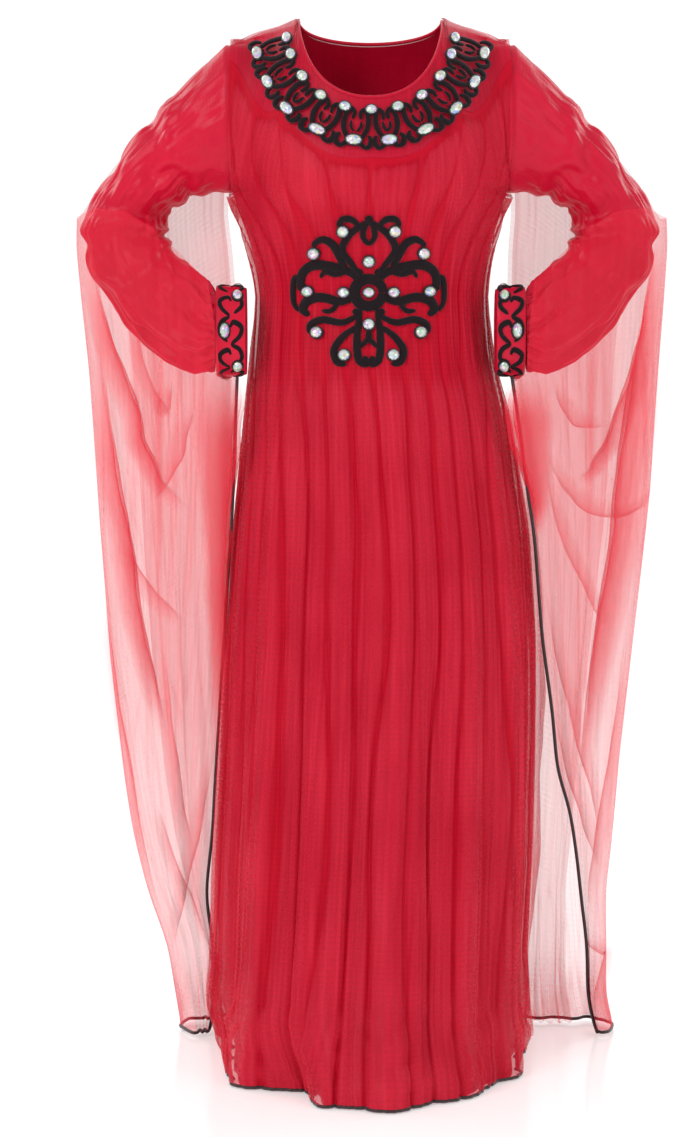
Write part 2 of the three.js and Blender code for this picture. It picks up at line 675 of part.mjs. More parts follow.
function secondPoint(side, share, step) {
  const table = side < 0 ? WING_LEFT : WING_RIGHT;
  const lineX = (z) => {
    const inner = readSmooth(table, 'z', 'inner', z, OUTLINE_REACH) + SECOND_INSET.inner;
    const out = readSmooth(table, 'z', 'out', z, OUTLINE_REACH) - SECOND_INSET.out;
    return lerp(inner, out, share);
  };
  const highX = lineX(ARM_Z);
  const mid = readTable(UPPER_ARM, 'x', 'mid', highX);
  const top = readTable(UPPER_ARM, 'x', 'top', highX);
  const z = lerp(lerp(mid, top, SECOND_START), WING_HEM, step);
  const x = lineX(z);
  const rise = clamp((z - mid) / Math.max(top - mid, 1));
  const round = Math.sqrt(1 - clamp((x - ELBOW.from) / ELBOW.length) ** 2);
  const elbow = readTable(UPPER_ARM, 'x', 'deep', x) * round;
  const armY = readTable(UPPER_ARM, 'x', 'y', x) + (elbow + SECOND_CLEAR) * Math.sqrt(1 - rise * rise);
  const freeY = readTable(WING_DEPTH, 'z', 'second', z);
  const wave = wingWave(z) * Math.sin(share * SECOND_WAVES + side);
  return new THREE.Vector3(side * x, lerp(armY, freeY, hanging(z)) + wave, z);
}

function buildWing(side, label) {
  const outer = makeGrid(HANG_STEPS.length, WING_COLUMNS, (i, j) => wingPoint(side, i, HANG_STEPS[j]));
  addPiece(garment, `wing_outer_${label}`, wallBetween(outer, offsetGrid(outer, SHEER_WALL)), SHEER);
  const second = makeGrid(HANG_STEPS.length, SECOND_COLUMNS, (i, j) => (
    secondPoint(side, i / (SECOND_COLUMNS - 1), HANG_STEPS[j])));
  addPiece(garment, `wing_inner_${label}`, wallBetween(second, offsetGrid(second, SHEER_WALL)), SHEER);

  // The piping runs down the front edge and on round the hem
  const last = WING_COLUMNS - 1;
  const away = PIPING_RADIUS * Math.SQRT2 + 2 * SEAM_GAP;
  const down = outer.map((row) => row[last].clone().add(new THREE.Vector3(-side * away, 0, 0)));
  const hem = offsetGrid(outer, SHEER_WALL / 2)[outer.length - 1].slice(0, last).reverse();
  for (const point of hem) point.z -= away;
  down[down.length - 1].z -= away;
  addPiece(garment, `wing_piping_${label}`, cordGeometry([...down, ...hem], PIPING_RADIUS), PIPING);
}

for (const [side, label] of [[-1, 'right_arm'], [1, 'left_arm']]) {
  buildSleeve(side, label);
  buildWing(side, label);
}

// Scrollwork: each ribbon or dot is laid on the cloth point by point, then all are joined

function asSolid(geometry) {
  const joined = mergeVertices(geometry, MERGE);
  return new wasm.Manifold(new wasm.Mesh({
    numProp: 3,
    vertProperties: new Float32Array(joined.attributes.position.array),
    triVerts: new Uint32Array(joined.index.array),
  }));
}

// A ribbon about a smooth line through its points, narrowing to its ends
function ribbonSolid(points, width, lay, proud) {
  const curve = new THREE.CatmullRomCurve3(points.map(([s, r]) => new THREE.Vector3(s, r, 0)));
  const count = points.length - 1;
  const strip = (height) => makeGrid(count + 1, 2, (i, n) => {
    const at = curve.getPoint(n / count);
    const along = curve.getTangent(n / count);
    const half = (width / 2) * (0.55 + 0.45 * Math.sin(Math.PI * n / count)) * (i === 0 ? -1 : 1);
    return lay(at.x - along.y * half, at.y + along.x * half, height);
  });
  return asSolid(wallBetween(strip(VELVET_GAP + VELVET_THICK + proud), strip(VELVET_GAP - proud)));
}

// A six-sided disc, its rim placed in a lower and an upper row
function dotSolid(s, r, radius, lay) {
  const disc = (height) => makeGrid(2, 3, (i, j) => {
    const angle = (j === 0 ? -1 : 1) * (5 - 2 * i) * Math.PI / 6;
    return lay(s + radius * Math.cos(angle), r + radius * Math.sin(angle), height);
  });
  return asSolid(wallBetween(disc(VELVET_GAP + VELVET_THICK + DOT_PROUD), disc(VELVET_GAP - DOT_PROUD)));
}

// A flat ring about the middle of what it is laid on
function ringSolid(inner, outer, lay) {
  const ring = (height) => makeGrid(2, RING_SIDES, (i, j) => {
    const angle = (i / RING_SIDES) * 2 * Math.PI;
    const radius = j === 0 ? inner : outer;
    return lay(radius * Math.cos(angle), radius * Math.sin(angle), height);
  });
  return asSolid(wallBetween(ring(VELVET_GAP + VELVET_THICK), ring(VELVET_GAP), true));
}

function joinedSheet(solids) {
  const joined = wasm.Manifold.union(solids).asOriginal().simplify(JOIN_TOLERANCE);
  const { numProp, vertProperties, triVerts } = joined.getMesh();
  const positions = [];
  for (let n = 0; n < vertProperties.length; n += numProp) {
    positions.push(vertProperties[n], vertProperties[n + 1], vertProperties[n + 2]);
  }
  return facingOut(positions, Array.from(triVerts));
}

const mirrored = (points) => points.map(([s, r]) => [-s, r]);

// A low faceted dome standing on the velvet
function stoneGeometry(lay, s, r, radius) {
  const base = VELVET_GAP + VELVET_THICK + STONE_SEAT;
  const rings = [[radius, base], [radius * 0.6, base + STONE_TALL]];
  const positions = [];
  for (const [size, height] of rings) {
    for (let n = 0; n < STONE_SIDES; n += 1) {
      const angle = (n / STONE_SIDES) * 2 * Math.PI;
      const point = lay(s + size * Math.cos(angle), r + size * Math.sin(angle), height);
      positions.push(point.x, point.y, point.z);
    }
  }
  const faces = [];
  for (let ring = 0; ring < rings.length - 1; ring += 1) {
    for (let n = 0; n < STONE_SIDES; n += 1) {
      const a = ring * STONE_SIDES + n;
      const b = ring * STONE_SIDES + (n + 1) % STONE_SIDES;
      faces.push(a, b, b + STONE_SIDES, a, b + STONE_SIDES, a + STONE_SIDES);
    }
  }
  const top = (rings.length - 1) * STONE_SIDES;
  for (let n = 1; n < STONE_SIDES - 1; n += 1) {
    faces.push(0, n + 1, n, top, top + n, top + n + 1);
  }
  return facingOut(positions, faces);
}

// The collar follows the neckline: s runs along it from shoulder to shoulder, r away from it
const NECK_SAMPLES = 80;
const TURN_REACH = 12;
const neckSamples = [];
for (let n = 0; n <= NECK_SAMPLES; n += 1) {
  const { x, z } = neckEdge(FRONT, lerp(-COLLAR_TURN, COLLAR_TURN, n / NECK_SAMPLES));
  const last = neckSamples[n - 1];
  neckSamples.push({ x, z, s: last ? last.s + Math.hypot(x - last.x, z - last.z) : 0 });
}
const NECK_LENGTH = neckSamples[NECK_SAMPLES].s;

function layOnYoke(s, r, height) {
  const x = readTable(neckSamples, 's', 'x', s);
  const z = readTable(neckSamples, 's', 'z', s);
  const change = (name) => (
    readTable(neckSamples, 's', name, s + TURN_REACH) - readTable(neckSamples, 's', name, s - TURN_REACH));
  const dx = change('x');
  const dz = change('z');
  const size = Math.hypot(dx, dz);
  return onFront(x + (dz / size) * r, z - (dx / size) * r, height + COLLAR_LIFT);
}

// A point at a height above the front's outer layer, seen at x and z
function onFront(x, z, height) {
  const step = 4;
  const depth = (px, pz) => clothDepth(FRONT, px, pz) - SEAM_GAP;
  const slopeX = (depth(x + step, z) - depth(x - step, z)) / (2 * step);
  const slopeZ = (depth(x, z + step) - depth(x, z - step)) / (2 * step);
  const out = new THREE.Vector3(slopeX, -1, slopeZ).normalize();
  const start = new THREE.Vector3(x, -1000, z);
  const hit = new THREE.Raycaster(start, new THREE.Vector3(0, 1, 0)).intersectObjects(frontLayers, false)[0];
  const smooth = depth(x, z) - layerGap(1, z) - SHEER_WALL;
  const y = hit ? Math.min(hit.point.y, smooth + 3) : smooth;
  return new THREE.Vector3(x, y, z).addScaledVector(out, height);
}

// One unit of the collar: a pair of facing curls that hold a disc
function collarUnit(middle) {
  const curl = [[0.06, 9], [0.24, 22], [0.4, 37], [0.3, 51], [0.08, 50]];
  const place = (points) => points.map(([u, r]) => [middle + u * COLLAR_PITCH * (1 - 0.12 * (r / 66)), r]);
  return [
    ribbonSolid(place(curl), 6.4, layOnYoke, 0.2),
    ribbonSolid(place(mirrored(curl)), 6.4, layOnYoke, 0),
    dotSolid(middle, 57, 7.6, layOnYoke),
  ];
}

const COLLAR_PITCH = NECK_LENGTH / COLLAR_UNITS;
const collarParts = [];
const collarStones = [];
for (let n = 0; n < COLLAR_UNITS; n += 1) {
  collarParts.push(...collarUnit((n + 0.5) * COLLAR_PITCH));
  collarStones.push([(n + 0.5) * COLLAR_PITCH, 57]);
}
for (let n = 0; n <= COLLAR_UNITS; n += 1) {
  const s = clamp(n * COLLAR_PITCH, 7, NECK_LENGTH - 7);
  const sprig = [[s, 34], [s + 1.5, 50], [s, 66]];
  collarParts.push(dotSolid(s, 16, 7.4, layOnYoke), ribbonSolid(sprig, 6, layOnYoke, -0.3));
  collarStones.push([s, 16]);
}
const rim = Array.from({ length: 2 * COLLAR_UNITS + 1 }, (_, n) => [n * COLLAR_PITCH / 2, n % 2 ? 11 : 9.6]);
collarParts.push(ribbonSolid(rim, 3.6, layOnYoke, -0.5));
addPiece(garment, 'collar_scrollwork', joinedSheet(collarParts), VELVET);
collarStones.forEach(([s, r], n) => {
  addPiece(garment, `collar_stone_${n + 1}`, stoneGeometry(layOnYoke, s, r, COLLAR_STONE), CRYSTAL);
});

// The waist ornament: a ring with curls above, below and to both sides, mirrored left and right
const layOnWaist = (s, r, height) => onFront(s + WAIST_X, r + WAIST_Z, height);
const WAIST_CURLS = [
  { width: 7, lift: 0.2, points: [[9, 12], [22, 30], [34, 50], [38, 68], [32, 82]] },
  { width: 7, lift: 0, points: [[12, 9], [34, 26], [56, 28], [74, 38], [69, 52]] },
  { width: 7, lift: -0.2, points: [[6, 14], [5, 40], [0, 58], [0, 90]] },
  { width: 6, lift: -0.4, points: [[0, 88], [10, 95], [24, 93], [32, 82]] },
  { width: 6, lift: 0.2, points: [[11, 3], [44, 9], [66, 6], [92, 14], [86, 28]] },
];
const WAIST_STONES = [
  [0, 0], [32, 0], [78, 0], [0, 41], [0, -42], [32, 82], [32, -82], [69, 52], [68, -52],
];
const waistParts = [ringSolid(8, 15.5, layOnWaist)];
for (const { width, lift, points } of WAIST_CURLS) {
  for (const flip of [1, -1]) {
    for (const turn of [1, -1]) {
      waistParts.push(ribbonSolid(points.map(([s, r]) => [flip * s, turn * r]), width, layOnWaist, lift));
    }
  }
}
const waistStones = [];
for (const [s, r] of WAIST_STONES) {
  waistStones.push([s, r]);
  if (s > 0) waistStones.push([-s, r]);
}
for (const [s, r] of waistStones) waistParts.push(dotSolid(s, r, 8.4, layOnWaist));
addPiece(garment, 'waist_scrollwork', joinedSheet(waistParts), VELVET);
waistStones.forEach(([s, r], n) => {
  const lay = (along, up, height) => layOnWaist(along, up, height + (r === 0 ? WAIST_DIP : 0));
  addPiece(garment, `waist_stone_${n + 1}`, stoneGeometry(lay, s, r, WAIST_STONE), CRYSTAL);
});

// Each cuff carries two waves that cross; its stones are left to the visual model
function cuffWave(side, phase) {
  const wave = (height) => makeGrid(2, CUFF_WAVE_POINTS, (i, j) => {
    const turn = i / CUFF_WAVE_POINTS;
    const swing = Math.cos(CUFF_WAVES * turn * 2 * Math.PI + phase);
    const share = 0.5 + CUFF_SWING * swing + (j === 0 ? -1 : 1) * CUFF_RIBBON / (CUFF.from - CUFF.to);
    const tall = lerp(CUFF.tallOut, CUFF.tallIn, share) + height;
    const deep = lerp(CUFF.deepOut, CUFF.deepIn, share) + height;
    const angle = turn * 2 * Math.PI;
    const x = side * lerp(CUFF.from, CUFF.to, share);
    return new THREE.Vector3(x, CUFF.y + deep * Math.sin(angle), CUFF.z + tall * Math.cos(angle));
  });
  return asSolid(wallBetween(wave(CUFF_GAP + VELVET_THICK - phase / 10), wave(CUFF_GAP), true));
}

for (const [side, label] of [[-1, 'right_arm'], [1, 'left_arm']]) {
  const waves = [cuffWave(side, 0), cuffWave(side, Math.PI)];
  addPiece(garment, `cuff_scrollwork_${label}`, joinedSheet(waves), VELVET);
}

garment.position.z = -SHOULDER_HEIGHT;

export default garment;
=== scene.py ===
"""Looks of the butterfly kaftan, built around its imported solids.

Sizes in the tables are millimetres above the floor, as the garment stands when worn. Every mesh is
turned into metres and lowered at the end, so that the origin lies between the shoulders.
"""

import math

import bpy
import numpy as np
from bpy.props import FloatProperty, FloatVectorProperty, PointerProperty
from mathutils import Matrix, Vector


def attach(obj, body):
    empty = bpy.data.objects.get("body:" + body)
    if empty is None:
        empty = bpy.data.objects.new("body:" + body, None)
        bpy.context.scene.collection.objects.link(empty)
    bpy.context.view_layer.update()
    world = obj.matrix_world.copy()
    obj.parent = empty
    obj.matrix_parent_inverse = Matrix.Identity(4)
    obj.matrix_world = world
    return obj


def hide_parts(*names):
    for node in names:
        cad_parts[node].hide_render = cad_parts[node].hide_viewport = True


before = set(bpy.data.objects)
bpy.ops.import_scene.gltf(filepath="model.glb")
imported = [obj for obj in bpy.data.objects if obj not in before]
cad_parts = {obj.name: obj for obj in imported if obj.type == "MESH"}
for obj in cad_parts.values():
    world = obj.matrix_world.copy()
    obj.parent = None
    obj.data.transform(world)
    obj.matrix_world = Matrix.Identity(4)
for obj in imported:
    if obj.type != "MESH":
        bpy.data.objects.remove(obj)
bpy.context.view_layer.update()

bl_info = {
    "name": "Butterfly kaftan",
    "version": (1, 0, 0),
    "blender": (4, 5, 0),
    "location": "View3D > Sidebar > Kaftan",
    "description": "Builds a worn satin kaftan with sheer wings, velvet scrollwork and domed stones",
    "category": "Add Mesh",
}

SHOULDER_HEIGHT = 1372.0
MM = 0.001
FRONT, BACK = -1, 1
FACES = ((FRONT, "front"), (BACK, "back"))
SIDES = ((-1, "right_arm"), (1, "left_arm"))

# The gown's own sizes, as its solids have them
SEAM_GAP = 0.45
SHOULDER_SEAM = 0.9
BUST_Z = 1120.0
ARMPIT_Z = 1160.0
ARMHOLE_X = 188.0
ARMHOLE_Y = 15.0
ARMHOLE_TALL = 98.0
ARMHOLE_DEEP = 58.0
NECK_HALF = 95.0
NECK_SIDE_Z = 1385.0
NECK_DROP = {FRONT: 118.0, BACK: 24.0}
NECK_SQUARENESS = 2.2
NECK_SHARE = 0.5
SHOULDER_ROUND = 125.0
SHOULDER_POINT_Z = ARMPIT_Z + 2 * ARMHOLE_TALL
SHOULDER_SLOPE = (NECK_SIDE_Z - SHOULDER_POINT_Z) / (ARMHOLE_X - NECK_HALF)
WAIST_X = -3.0
WAIST_Z = 1017.0
OVERLAY_GAP = 1.8
OVERLAY_GAP_HIGH = 3.8
HEM_LIFT = 5.0
WING_HEM = 8.0
WING_CLEAR = 4.0
ARM_Z = 1250.0
SECOND_CLEAR = 1.6


def table(columns, *rows):
    """A table with named columns, as arrays."""
    return dict(zip(columns.split(), np.array(rows, float).T))


# Flat cloth of each sheet: width, length and the area that was cut, in metres
FLATS = {
    "gown_satin_front": (0.72, 1.45, 0.84), "gown_satin_back": (0.68, 1.42, 0.78),
    "sheer_overlay_front": (0.96, 1.4, 1.0), "sheer_overlay_back": (0.9, 1.36, 0.92),
    "yoke_front_panel": (0.42, 0.2, 0.052), "yoke_back_panel": (0.4, 0.11, 0.038),
    "sheer_side_fall_right_arm": (0.1, 0.9, 0.072), "sheer_side_fall_left_arm": (0.12, 0.92, 0.08832),
    "cuff_band": (0.3, 0.045, 0.0135), "bishop_sleeve": (0.42, 0.56, 0.18),
    "sheer_wing": (0.66, 1.36, 0.72), "sheer_wing_inner": (0.2, 1.3, 0.178),
}

BODY = table(
    "z left right front back",
    (0, -196, 190, -345, 230), (40, -198, 190, -325, 222), (120, -196, 194, -285, 205),
    (250, -194, 202, -240, 190), (400, -188, 208, -205, 176), (550, -182, 210, -180, 165),
    (700, -175, 203, -160, 155), (850, -162, 180, -140, 145), (930, -155, 160, -126, 132),
    (1017, -148, 152, -108, 102), (1090, -162, 162, -122, 96), (1150, -186, 184, -138, 100),
    (1210, -190, 189, -132, 106), (1270, -191, 190, -114, 106), (1400, -192, 191, -100, 98),
)
BROAD_FOLDS = {
    FRONT: ((-0.82, 0.17, 13), (-0.5, 0.15, 17), (-0.2, 0.13, 12), (0.07, 0.14, 18),
            (0.36, 0.14, 13), (0.62, 0.13, 17), (0.88, 0.11, 10)),
    BACK: ((-0.72, 0.2, 14), (-0.3, 0.2, 18), (0.12, 0.2, 14), (0.55, 0.22, 18)),
}
YOKE = table("across deep", (0, 76), (0.35, 100), (0.5, 132), (0.6, 128), (0.75, 96), (1, 24))
SLEEVE = table(
    "in_x in_z out_x out_z y deep",
    (190, 1160, 190, 1356, 15, 60), (214, 1158, 243, 1315, 22, 60), (240, 1153, 292, 1266, 34, 56),
    (262, 1143, 340, 1208, 45, 52), (277, 1128, 380, 1156, 52, 49), (280, 1110, 397, 1104, 54, 48),
    (272, 1090, 386, 1058, 46, 48), (256, 1071, 356, 1010, 24, 48), (238, 1054, 318, 966, -6, 46),
    (222, 1040, 276, 930, -38, 43), (210, 1030, 234, 908, -60, 38), (204, 1022, 204, 914, -70, 31),
)
CUFF = {"from": 204.0, "to": 165.0, "y": -71.0, "z": 968.0, "tall": (59.0, 56.0), "deep": (33.0, 30.0)}
CUFF_LONG = CUFF["from"] - CUFF["to"]
CUFF_RADIUS = 40
CUFF_THICK = 1.6
CUFF_STONES = 7
CUFF_WAVES = 5

# Two curls of a cuff's wave: place along it, and rise from the cuff's middle as a share of its length
CUFF_CURLS = (
    ((0, 0), (0.3, 0.3), (0.62, 0.36), (0.8, 0.1), (0.6, -0.02)),
    ((0.1, -0.1), (0.42, -0.36), (0.8, -0.3), (1.0, 0)),
)

# The sleeve as the wings lie over it: top, middle height, place forward and half depth along it
UPPER_ARM = table(
    "x top mid y deep",
    (196, 1358, 1264, 15, 62), (228, 1334, 1250, 21, 61), (266, 1299, 1224, 33, 58),
    (301, 1261, 1186, 44, 54), (340, 1216, 1150, 53, 51), (372, 1176, 1124, 54, 50),
    (400, 1130, 1106, 54, 50),
)
FOREARM = table(
    "x top mid y deep",
    (176, 911, 915, -72, 20), (199, 915, 920, -72, 40), (207, 985, 991, -70, 44),
    (214, 1036, 1042, -70, 44), (236, 1058, 1064, -60, 46), (262, 1084, 1040, -38, 48),
    (290, 1110, 1116, -10, 50), (330, 1134, 1140, 30, 50), (372, 1140, 1146, 52, 50),
    (400, 1130, 1136, 54, 50),
)
WING = {
    -1: table(
        "z out edge inner",
        (0, 262, 222, 218), (50, 270, 220, 216), (120, 281, 217, 214), (200, 309, 228, 213),
        (280, 328, 218, 211), (360, 340, 213, 207), (523, 358, 202, 200), (741, 374, 186, 192),
        (918, 386, 178, 184), (1013, 396, 177, 184), (1090, 403, 177, 190), (1130, 401, 177, 196),
        (1235, 401, 177, 191), (1370, 401, 177, 190.9),
    ),
    1: table(
        "z out edge inner",
        (0, 343, 318, 212), (50, 331, 304, 214), (127, 331, 302, 218), (199, 330, 292, 222),
        (251, 336, 286, 225), (320, 342, 275, 229), (377, 346, 256, 231), (455, 354, 249, 232),
        (553, 365, 234, 231), (700, 381, 221, 224), (768, 388, 209, 218), (918, 397, 186, 198),
        (1013, 404, 180, 190), (1096, 409, 180, 192), (1130, 406, 180, 196), (1235, 406, 180, 191),
        (1370, 406, 180, 190.9),
    ),
}
WING_DEPTH = table(
    "z back second fold edge",
    (0, 92, 58, 14, 22), (150, 98, 60, 6, 4), (400, 108, 64, -10, -32), (700, 114, 74, -24, -66),
    (900, 120, 98, -10, -76), (1370, 120, 98, -10, -76),
)

# A wing's columns: the back's run, the turn round the elbow fold and the front's run
BACK_RUN, FOLD_RUN, FRONT_RUN = 7, 6, 8
WING_SPAN = BACK_RUN + FOLD_RUN + FRONT_RUN
FOLD_LENGTH = 58.0

# Section of a fold where cloth lies over itself: place across it, lift, cover and painted shade at its
# edge, and veil
FOLD_SECTION = table(
    "place lift edge veil",
    (-1, 1.6, 0.55, 1), (-0.94, 2.2, 0.3, 1), (-0.8, 2.6, 0.06, 0.95), (-0.4, 3, 0, 0.8), (0, 3.1, 0, 0.6),
    (0.4, 3, 0, 0.4), (0.8, 2.6, 0, 0.2), (0.94, 2.2, 0, 0.1), (1, 1.6, 0, 0), (0.94, 1.0, 0, 0.1),
    (0.5, 0.8, 0, 0.3), (0, 0.8, 0, 0.5), (-0.5, 0.8, 0, 0.7), (-0.94, 1.0, 0.3, 1),
)

# Loose cloth beside the skirt: the skirt's side, how far the cloth hangs beyond it, and half its depth
SIDE_FALL = {
    -1: table(
        "z body reach deep",
        (0, 196, 16, 40), (120, 196, 13, 34), (300, 193, 12, 30), (500, 184, 14, 26),
        (700, 175, 13, 22), (800, 167, 8, 16), (880, 158, 2, 10),
    ),
    1: table(
        "z body reach deep",
        (0, 190, 34, 44), (100, 194, 28, 38), (180, 198, 26, 34), (260, 202, 34, 30), (430, 208, 30, 28),
        (600, 208, 26, 24), (740, 198, 22, 20), (850, 180, 12, 14), (900, 170, 2, 8),
    ),
}

# Folds where the wing's cloth lies over itself: layers, then places across, heights and half widths
FOLDS = {
    -1: (
        (2, (-390, 1120, 5), (-372, 1010, 8), (-350, 930, 10), (-326, 870, 11), (-312, 812, 11),
         (-284, 760, 8), (-240, 722, 3)),
        (2, (-374, 980, 5), (-362, 850, 9), (-352, 765, 11), (-338, 684, 12), (-320, 575, 11),
         (-300, 480, 9), (-282, 410, 4)),
        (3, (-200, 915, 26), (-206, 850, 24), (-207, 770, 20), (-206, 700, 15), (-206, 610, 12),
         (-204, 480, 9), (-206, 330, 5)),
        (1, (-236, 878, 3), (-250, 840, 7), (-268, 795, 9), (-282, 765, 6), (-300, 742, 2)),
        (1, (-268, 905, 4), (-279, 868, 9), (-276, 852, 6)),
        (1, (-345, 700, 3), (-318, 640, 7), (-288, 600, 8), (-250, 572, 3)),
        (1, (-366, 640, 3), (-356, 520, 6), (-340, 400, 7), (-318, 280, 6), (-290, 160, 4)),
        (1, (-300, 330, 4), (-276, 250, 6), (-246, 180, 5), (-226, 120, 3)),
        (1, (-214, 420, 4), (-240, 300, 6), (-262, 200, 6), (-276, 120, 3)),
        (1, (-290, 560, 3), (-276, 440, 6), (-262, 330, 6), (-240, 230, 3)),
        (1, (-330, 1010, 3), (-312, 930, 7), (-286, 872, 6), (-262, 850, 2)),
    ),
    1: (
        (2, (392, 1110, 4), (384, 1040, 7), (372, 950, 10), (352, 880, 11), (322, 812, 9),
         (296, 776, 6), (274, 768, 2)),
        (2, (380, 1010, 7), (374, 940, 12), (366, 860, 17), (356, 768, 18), (340, 659, 17),
         (322, 550, 14), (304, 430, 9), (290, 330, 4)),
        (3, (214, 905, 24), (214, 850, 25), (220, 790, 17), (226, 740, 9), (228, 690, 3)),
        (1, (244, 905, 3), (262, 868, 7), (286, 850, 7), (320, 846, 2)),
        (1, (228, 820, 2), (262, 770, 6), (292, 740, 8), (332, 728, 7), (366, 742, 4), (380, 770, 2)),
        (1, (232, 800, 3), (262, 700, 6), (300, 620, 6), (330, 560, 3)),
        (1, (236, 640, 3), (262, 520, 6), (290, 420, 7), (312, 330, 5), (320, 250, 3)),
        (1, (352, 560, 3), (344, 440, 7), (330, 340, 8), (314, 240, 6), (304, 150, 3)),
        (1, (250, 470, 3), (276, 380, 6), (300, 300, 6), (326, 220, 3)),
        (1, (300, 150, 3), (316, 128, 8), (332, 118, 7), (322, 70, 7), (318, 20, 4)),
    ),
}

# The collar: its pitch follows the neckline
COLLAR_TURN = 0.88
COLLAR_UNITS = 10
COLLAR_STONE = 6.3
WAIST_STONE = 7.2

# One unit of the collar, half of it: width of each curl, then places across the unit and out from the neck
COLLAR_CURLS = (
    (4.8, ((0.0, 60), (0.2, 53), (0.37, 40), (0.38, 26), (0.24, 16), (0.1, 21), (0.13, 30))),
    (4.4, ((0.04, 48), (0.2, 62), (0.38, 66), (0.49, 58), (0.42, 50))),
    (2.6, ((0.02, 46), (0.13, 40), (0.15, 32))),
)

# Waist ornament, one side: width and points across and up from its middle
WAIST_RIBBONS = (
    (8.0, ((13, 17), (26, 28), (48, 35), (70, 37), (84, 28), (87, 12), (80, 8))),
    (6.5, ((28, 29), (36, 44), (46, 63), (60, 70), (73, 62))),
    (6.0, ((10, 21), (22, 38), (34, 56), (26, 74), (12, 86), (0, 92))),
    (5.5, ((12, 86), (22, 95), (34, 95), (40, 86))),
    (5.0, ((0, 62), (7, 72), (6, 84), (0, 93))),
    (4.5, ((26, 28), (42, 24), (56, 28), (62, 20))),
    (8.0, ((20, -8), (38, -12), (60, -6), (78, -10), (84, -22), (76, -30))),
    (4.5, ((38, -12), (48, -24), (60, -24))),
    (6.0, ((12, -30), (34, -40), (58, -36), (74, -42), (76, -54))),
    (6.5, ((10, -22), (14, -48), (15, -72), (12, -90), (3, -94), (5, -84))),
    (6.0, ((13, -44), (32, -58), (44, -76), (40, -92), (28, -95))),
    (4.5, ((0, -50), (0, -60), (-12, -74))),
    (4.5, ((86, 14), (94, 22), (97, 8), (96, -12), (90, -24))),
)
WAIST_DOTS = (
    (0, 95, 5.5), (87, 8, 4.5), (-87, 8, 4.5), (16, -26, 5), (-16, -26, 5), (12, 27, 5), (-12, 27, 5),
)
WAIST_RINGS = (22.0, 18.0, 14.5)
WAIST_STONES = ((0, 0), (32, 0), (78, 2), (0, 41), (0, -43), (33, 80), (31, -83), (70, 52), (66, -53))

# Sections of a ribbon, a stone and a setting: share of the half width or radius, and rise
RIBBON_SECTION = (
    (-1.0, 0.05), (-0.86, 0.62), (-0.45, 0.93), (0, 1.0), (0.45, 0.93), (0.86, 0.62), (1.0, 0.05),
)
STONE_ROWS = ((1.0, 0.0, 0.0), (0.97, 0.22, 0.0), (0.78, 0.62, 0.5), (0.5, 0.88, 0.0), (0.22, 0.99, 0.5))
STONE_SIDES = 10
SETTING_ROWS = ((1.14, -0.6), (1.16, 0.7), (1.04, 1.5), (0.9, 0.8))
SETTING_SIDES = 24

# Shaders
WAVES_PER_SCALE = 20
# Stone colours: the pearly coat's pale tint with painted reflection flashes of colour
PEARL_AND_FLASH_STOPS = (
    (0.0, (0.86, 0.9, 0.95)), (0.28, (0.4, 0.68, 0.44)), (0.42, (0.88, 0.88, 0.72)),
    (0.58, (0.66, 0.36, 0.72)), (0.72, (0.93, 0.93, 0.93)), (0.86, (0.34, 0.44, 0.86)),
    (1.0, (0.8, 0.7, 0.36)),
)

# The stage, in metres: the floor's flat run and its bend, the lamps' places, powers and sizes, the camera
FLOOR_FRONT, FLOOR_BEND, FLOOR_RADIUS = -6, 3, 2.5
FLOOR_TOP = (5.5, 9.0)
FLOOR_HALF_WIDTH = 9
FLOOR_DROP = 0.0005
LAMPS = (
    ("Key", (-2.4, -3.0, 1.5), 48, 1.6), ("Fill", (2.8, -2.4, 0.5), 16, 2.0),
    ("Back left", (-2.4, 2.0, 1.4), 22, 1.6), ("Back right", (2.4, 2.0, 1.2), 22, 1.6),
)
LAMP_TARGET = (0, 0, -0.6)
CAMERA_PLACE = (-0.0394, -3.5, -0.502)
CAMERA_TILT = 3.63
CAMERA_LENS = 81.5


def lerp(a, b, t):
    return a + (b - a) * t


def ramp(low, high, value):
    t = np.clip((value - low) / (high - low), 0, 1)
    return t * t * (3 - 2 * t)


def read(rows, along, column, at):
    return np.interp(at, rows[along], rows[column])


def read_smooth(rows, along, column, at, reach):
    low = read(rows, along, column, at - reach)
    high = read(rows, along, column, at + reach)
    return (low + 2 * read(rows, along, column, at) + high) / 4


def at_height(rows, column, z):
    return read_smooth(rows, "z", column, z, 20)


def soft_noise(u, v, seed):
    """Smooth noise from -1 to 1 over two coordinates, the same on each run."""
    lattice = np.random.default_rng(seed).uniform(-1, 1, (64, 64))
    i, j = np.floor(u).astype(int), np.floor(v).astype(int)
    across, up = ramp(0, 1, u - i), ramp(0, 1, v - j)
    low = lerp(lattice[i % 64, j % 64], lattice[(i + 1) % 64, j % 64], across)
    high = lerp(lattice[i % 64, (j + 1) % 64], lattice[(i + 1) % 64, (j + 1) % 64], across)
    return lerp(low, high, up)


def unit(vectors):
    return vectors / np.maximum(np.linalg.norm(vectors, axis=-1, keepdims=True), 1e-9)


def grid_normals(points):
    """Unit normals of a grid of points: across direction times up direction."""
    return unit(np.cross(np.gradient(points, axis=1), np.gradient(points, axis=0)))


# The gown's surface


def body_plan(z):
    """The gown's middle, half width, front and back at a height."""
    left, right = (read_smooth(BODY, "z", name, z, 25) for name in ("left", "right"))
    front, back = (read_smooth(BODY, "z", name, z, 25) for name in ("front", "back"))
    return (left + right) / 2, (right - left) / 2, front, back


def shoulder_line(x):
    beyond = np.abs(x) - NECK_HALF
    return NECK_SIDE_Z - beyond * np.where(beyond > 0, SHOULDER_SLOPE, 0.1)


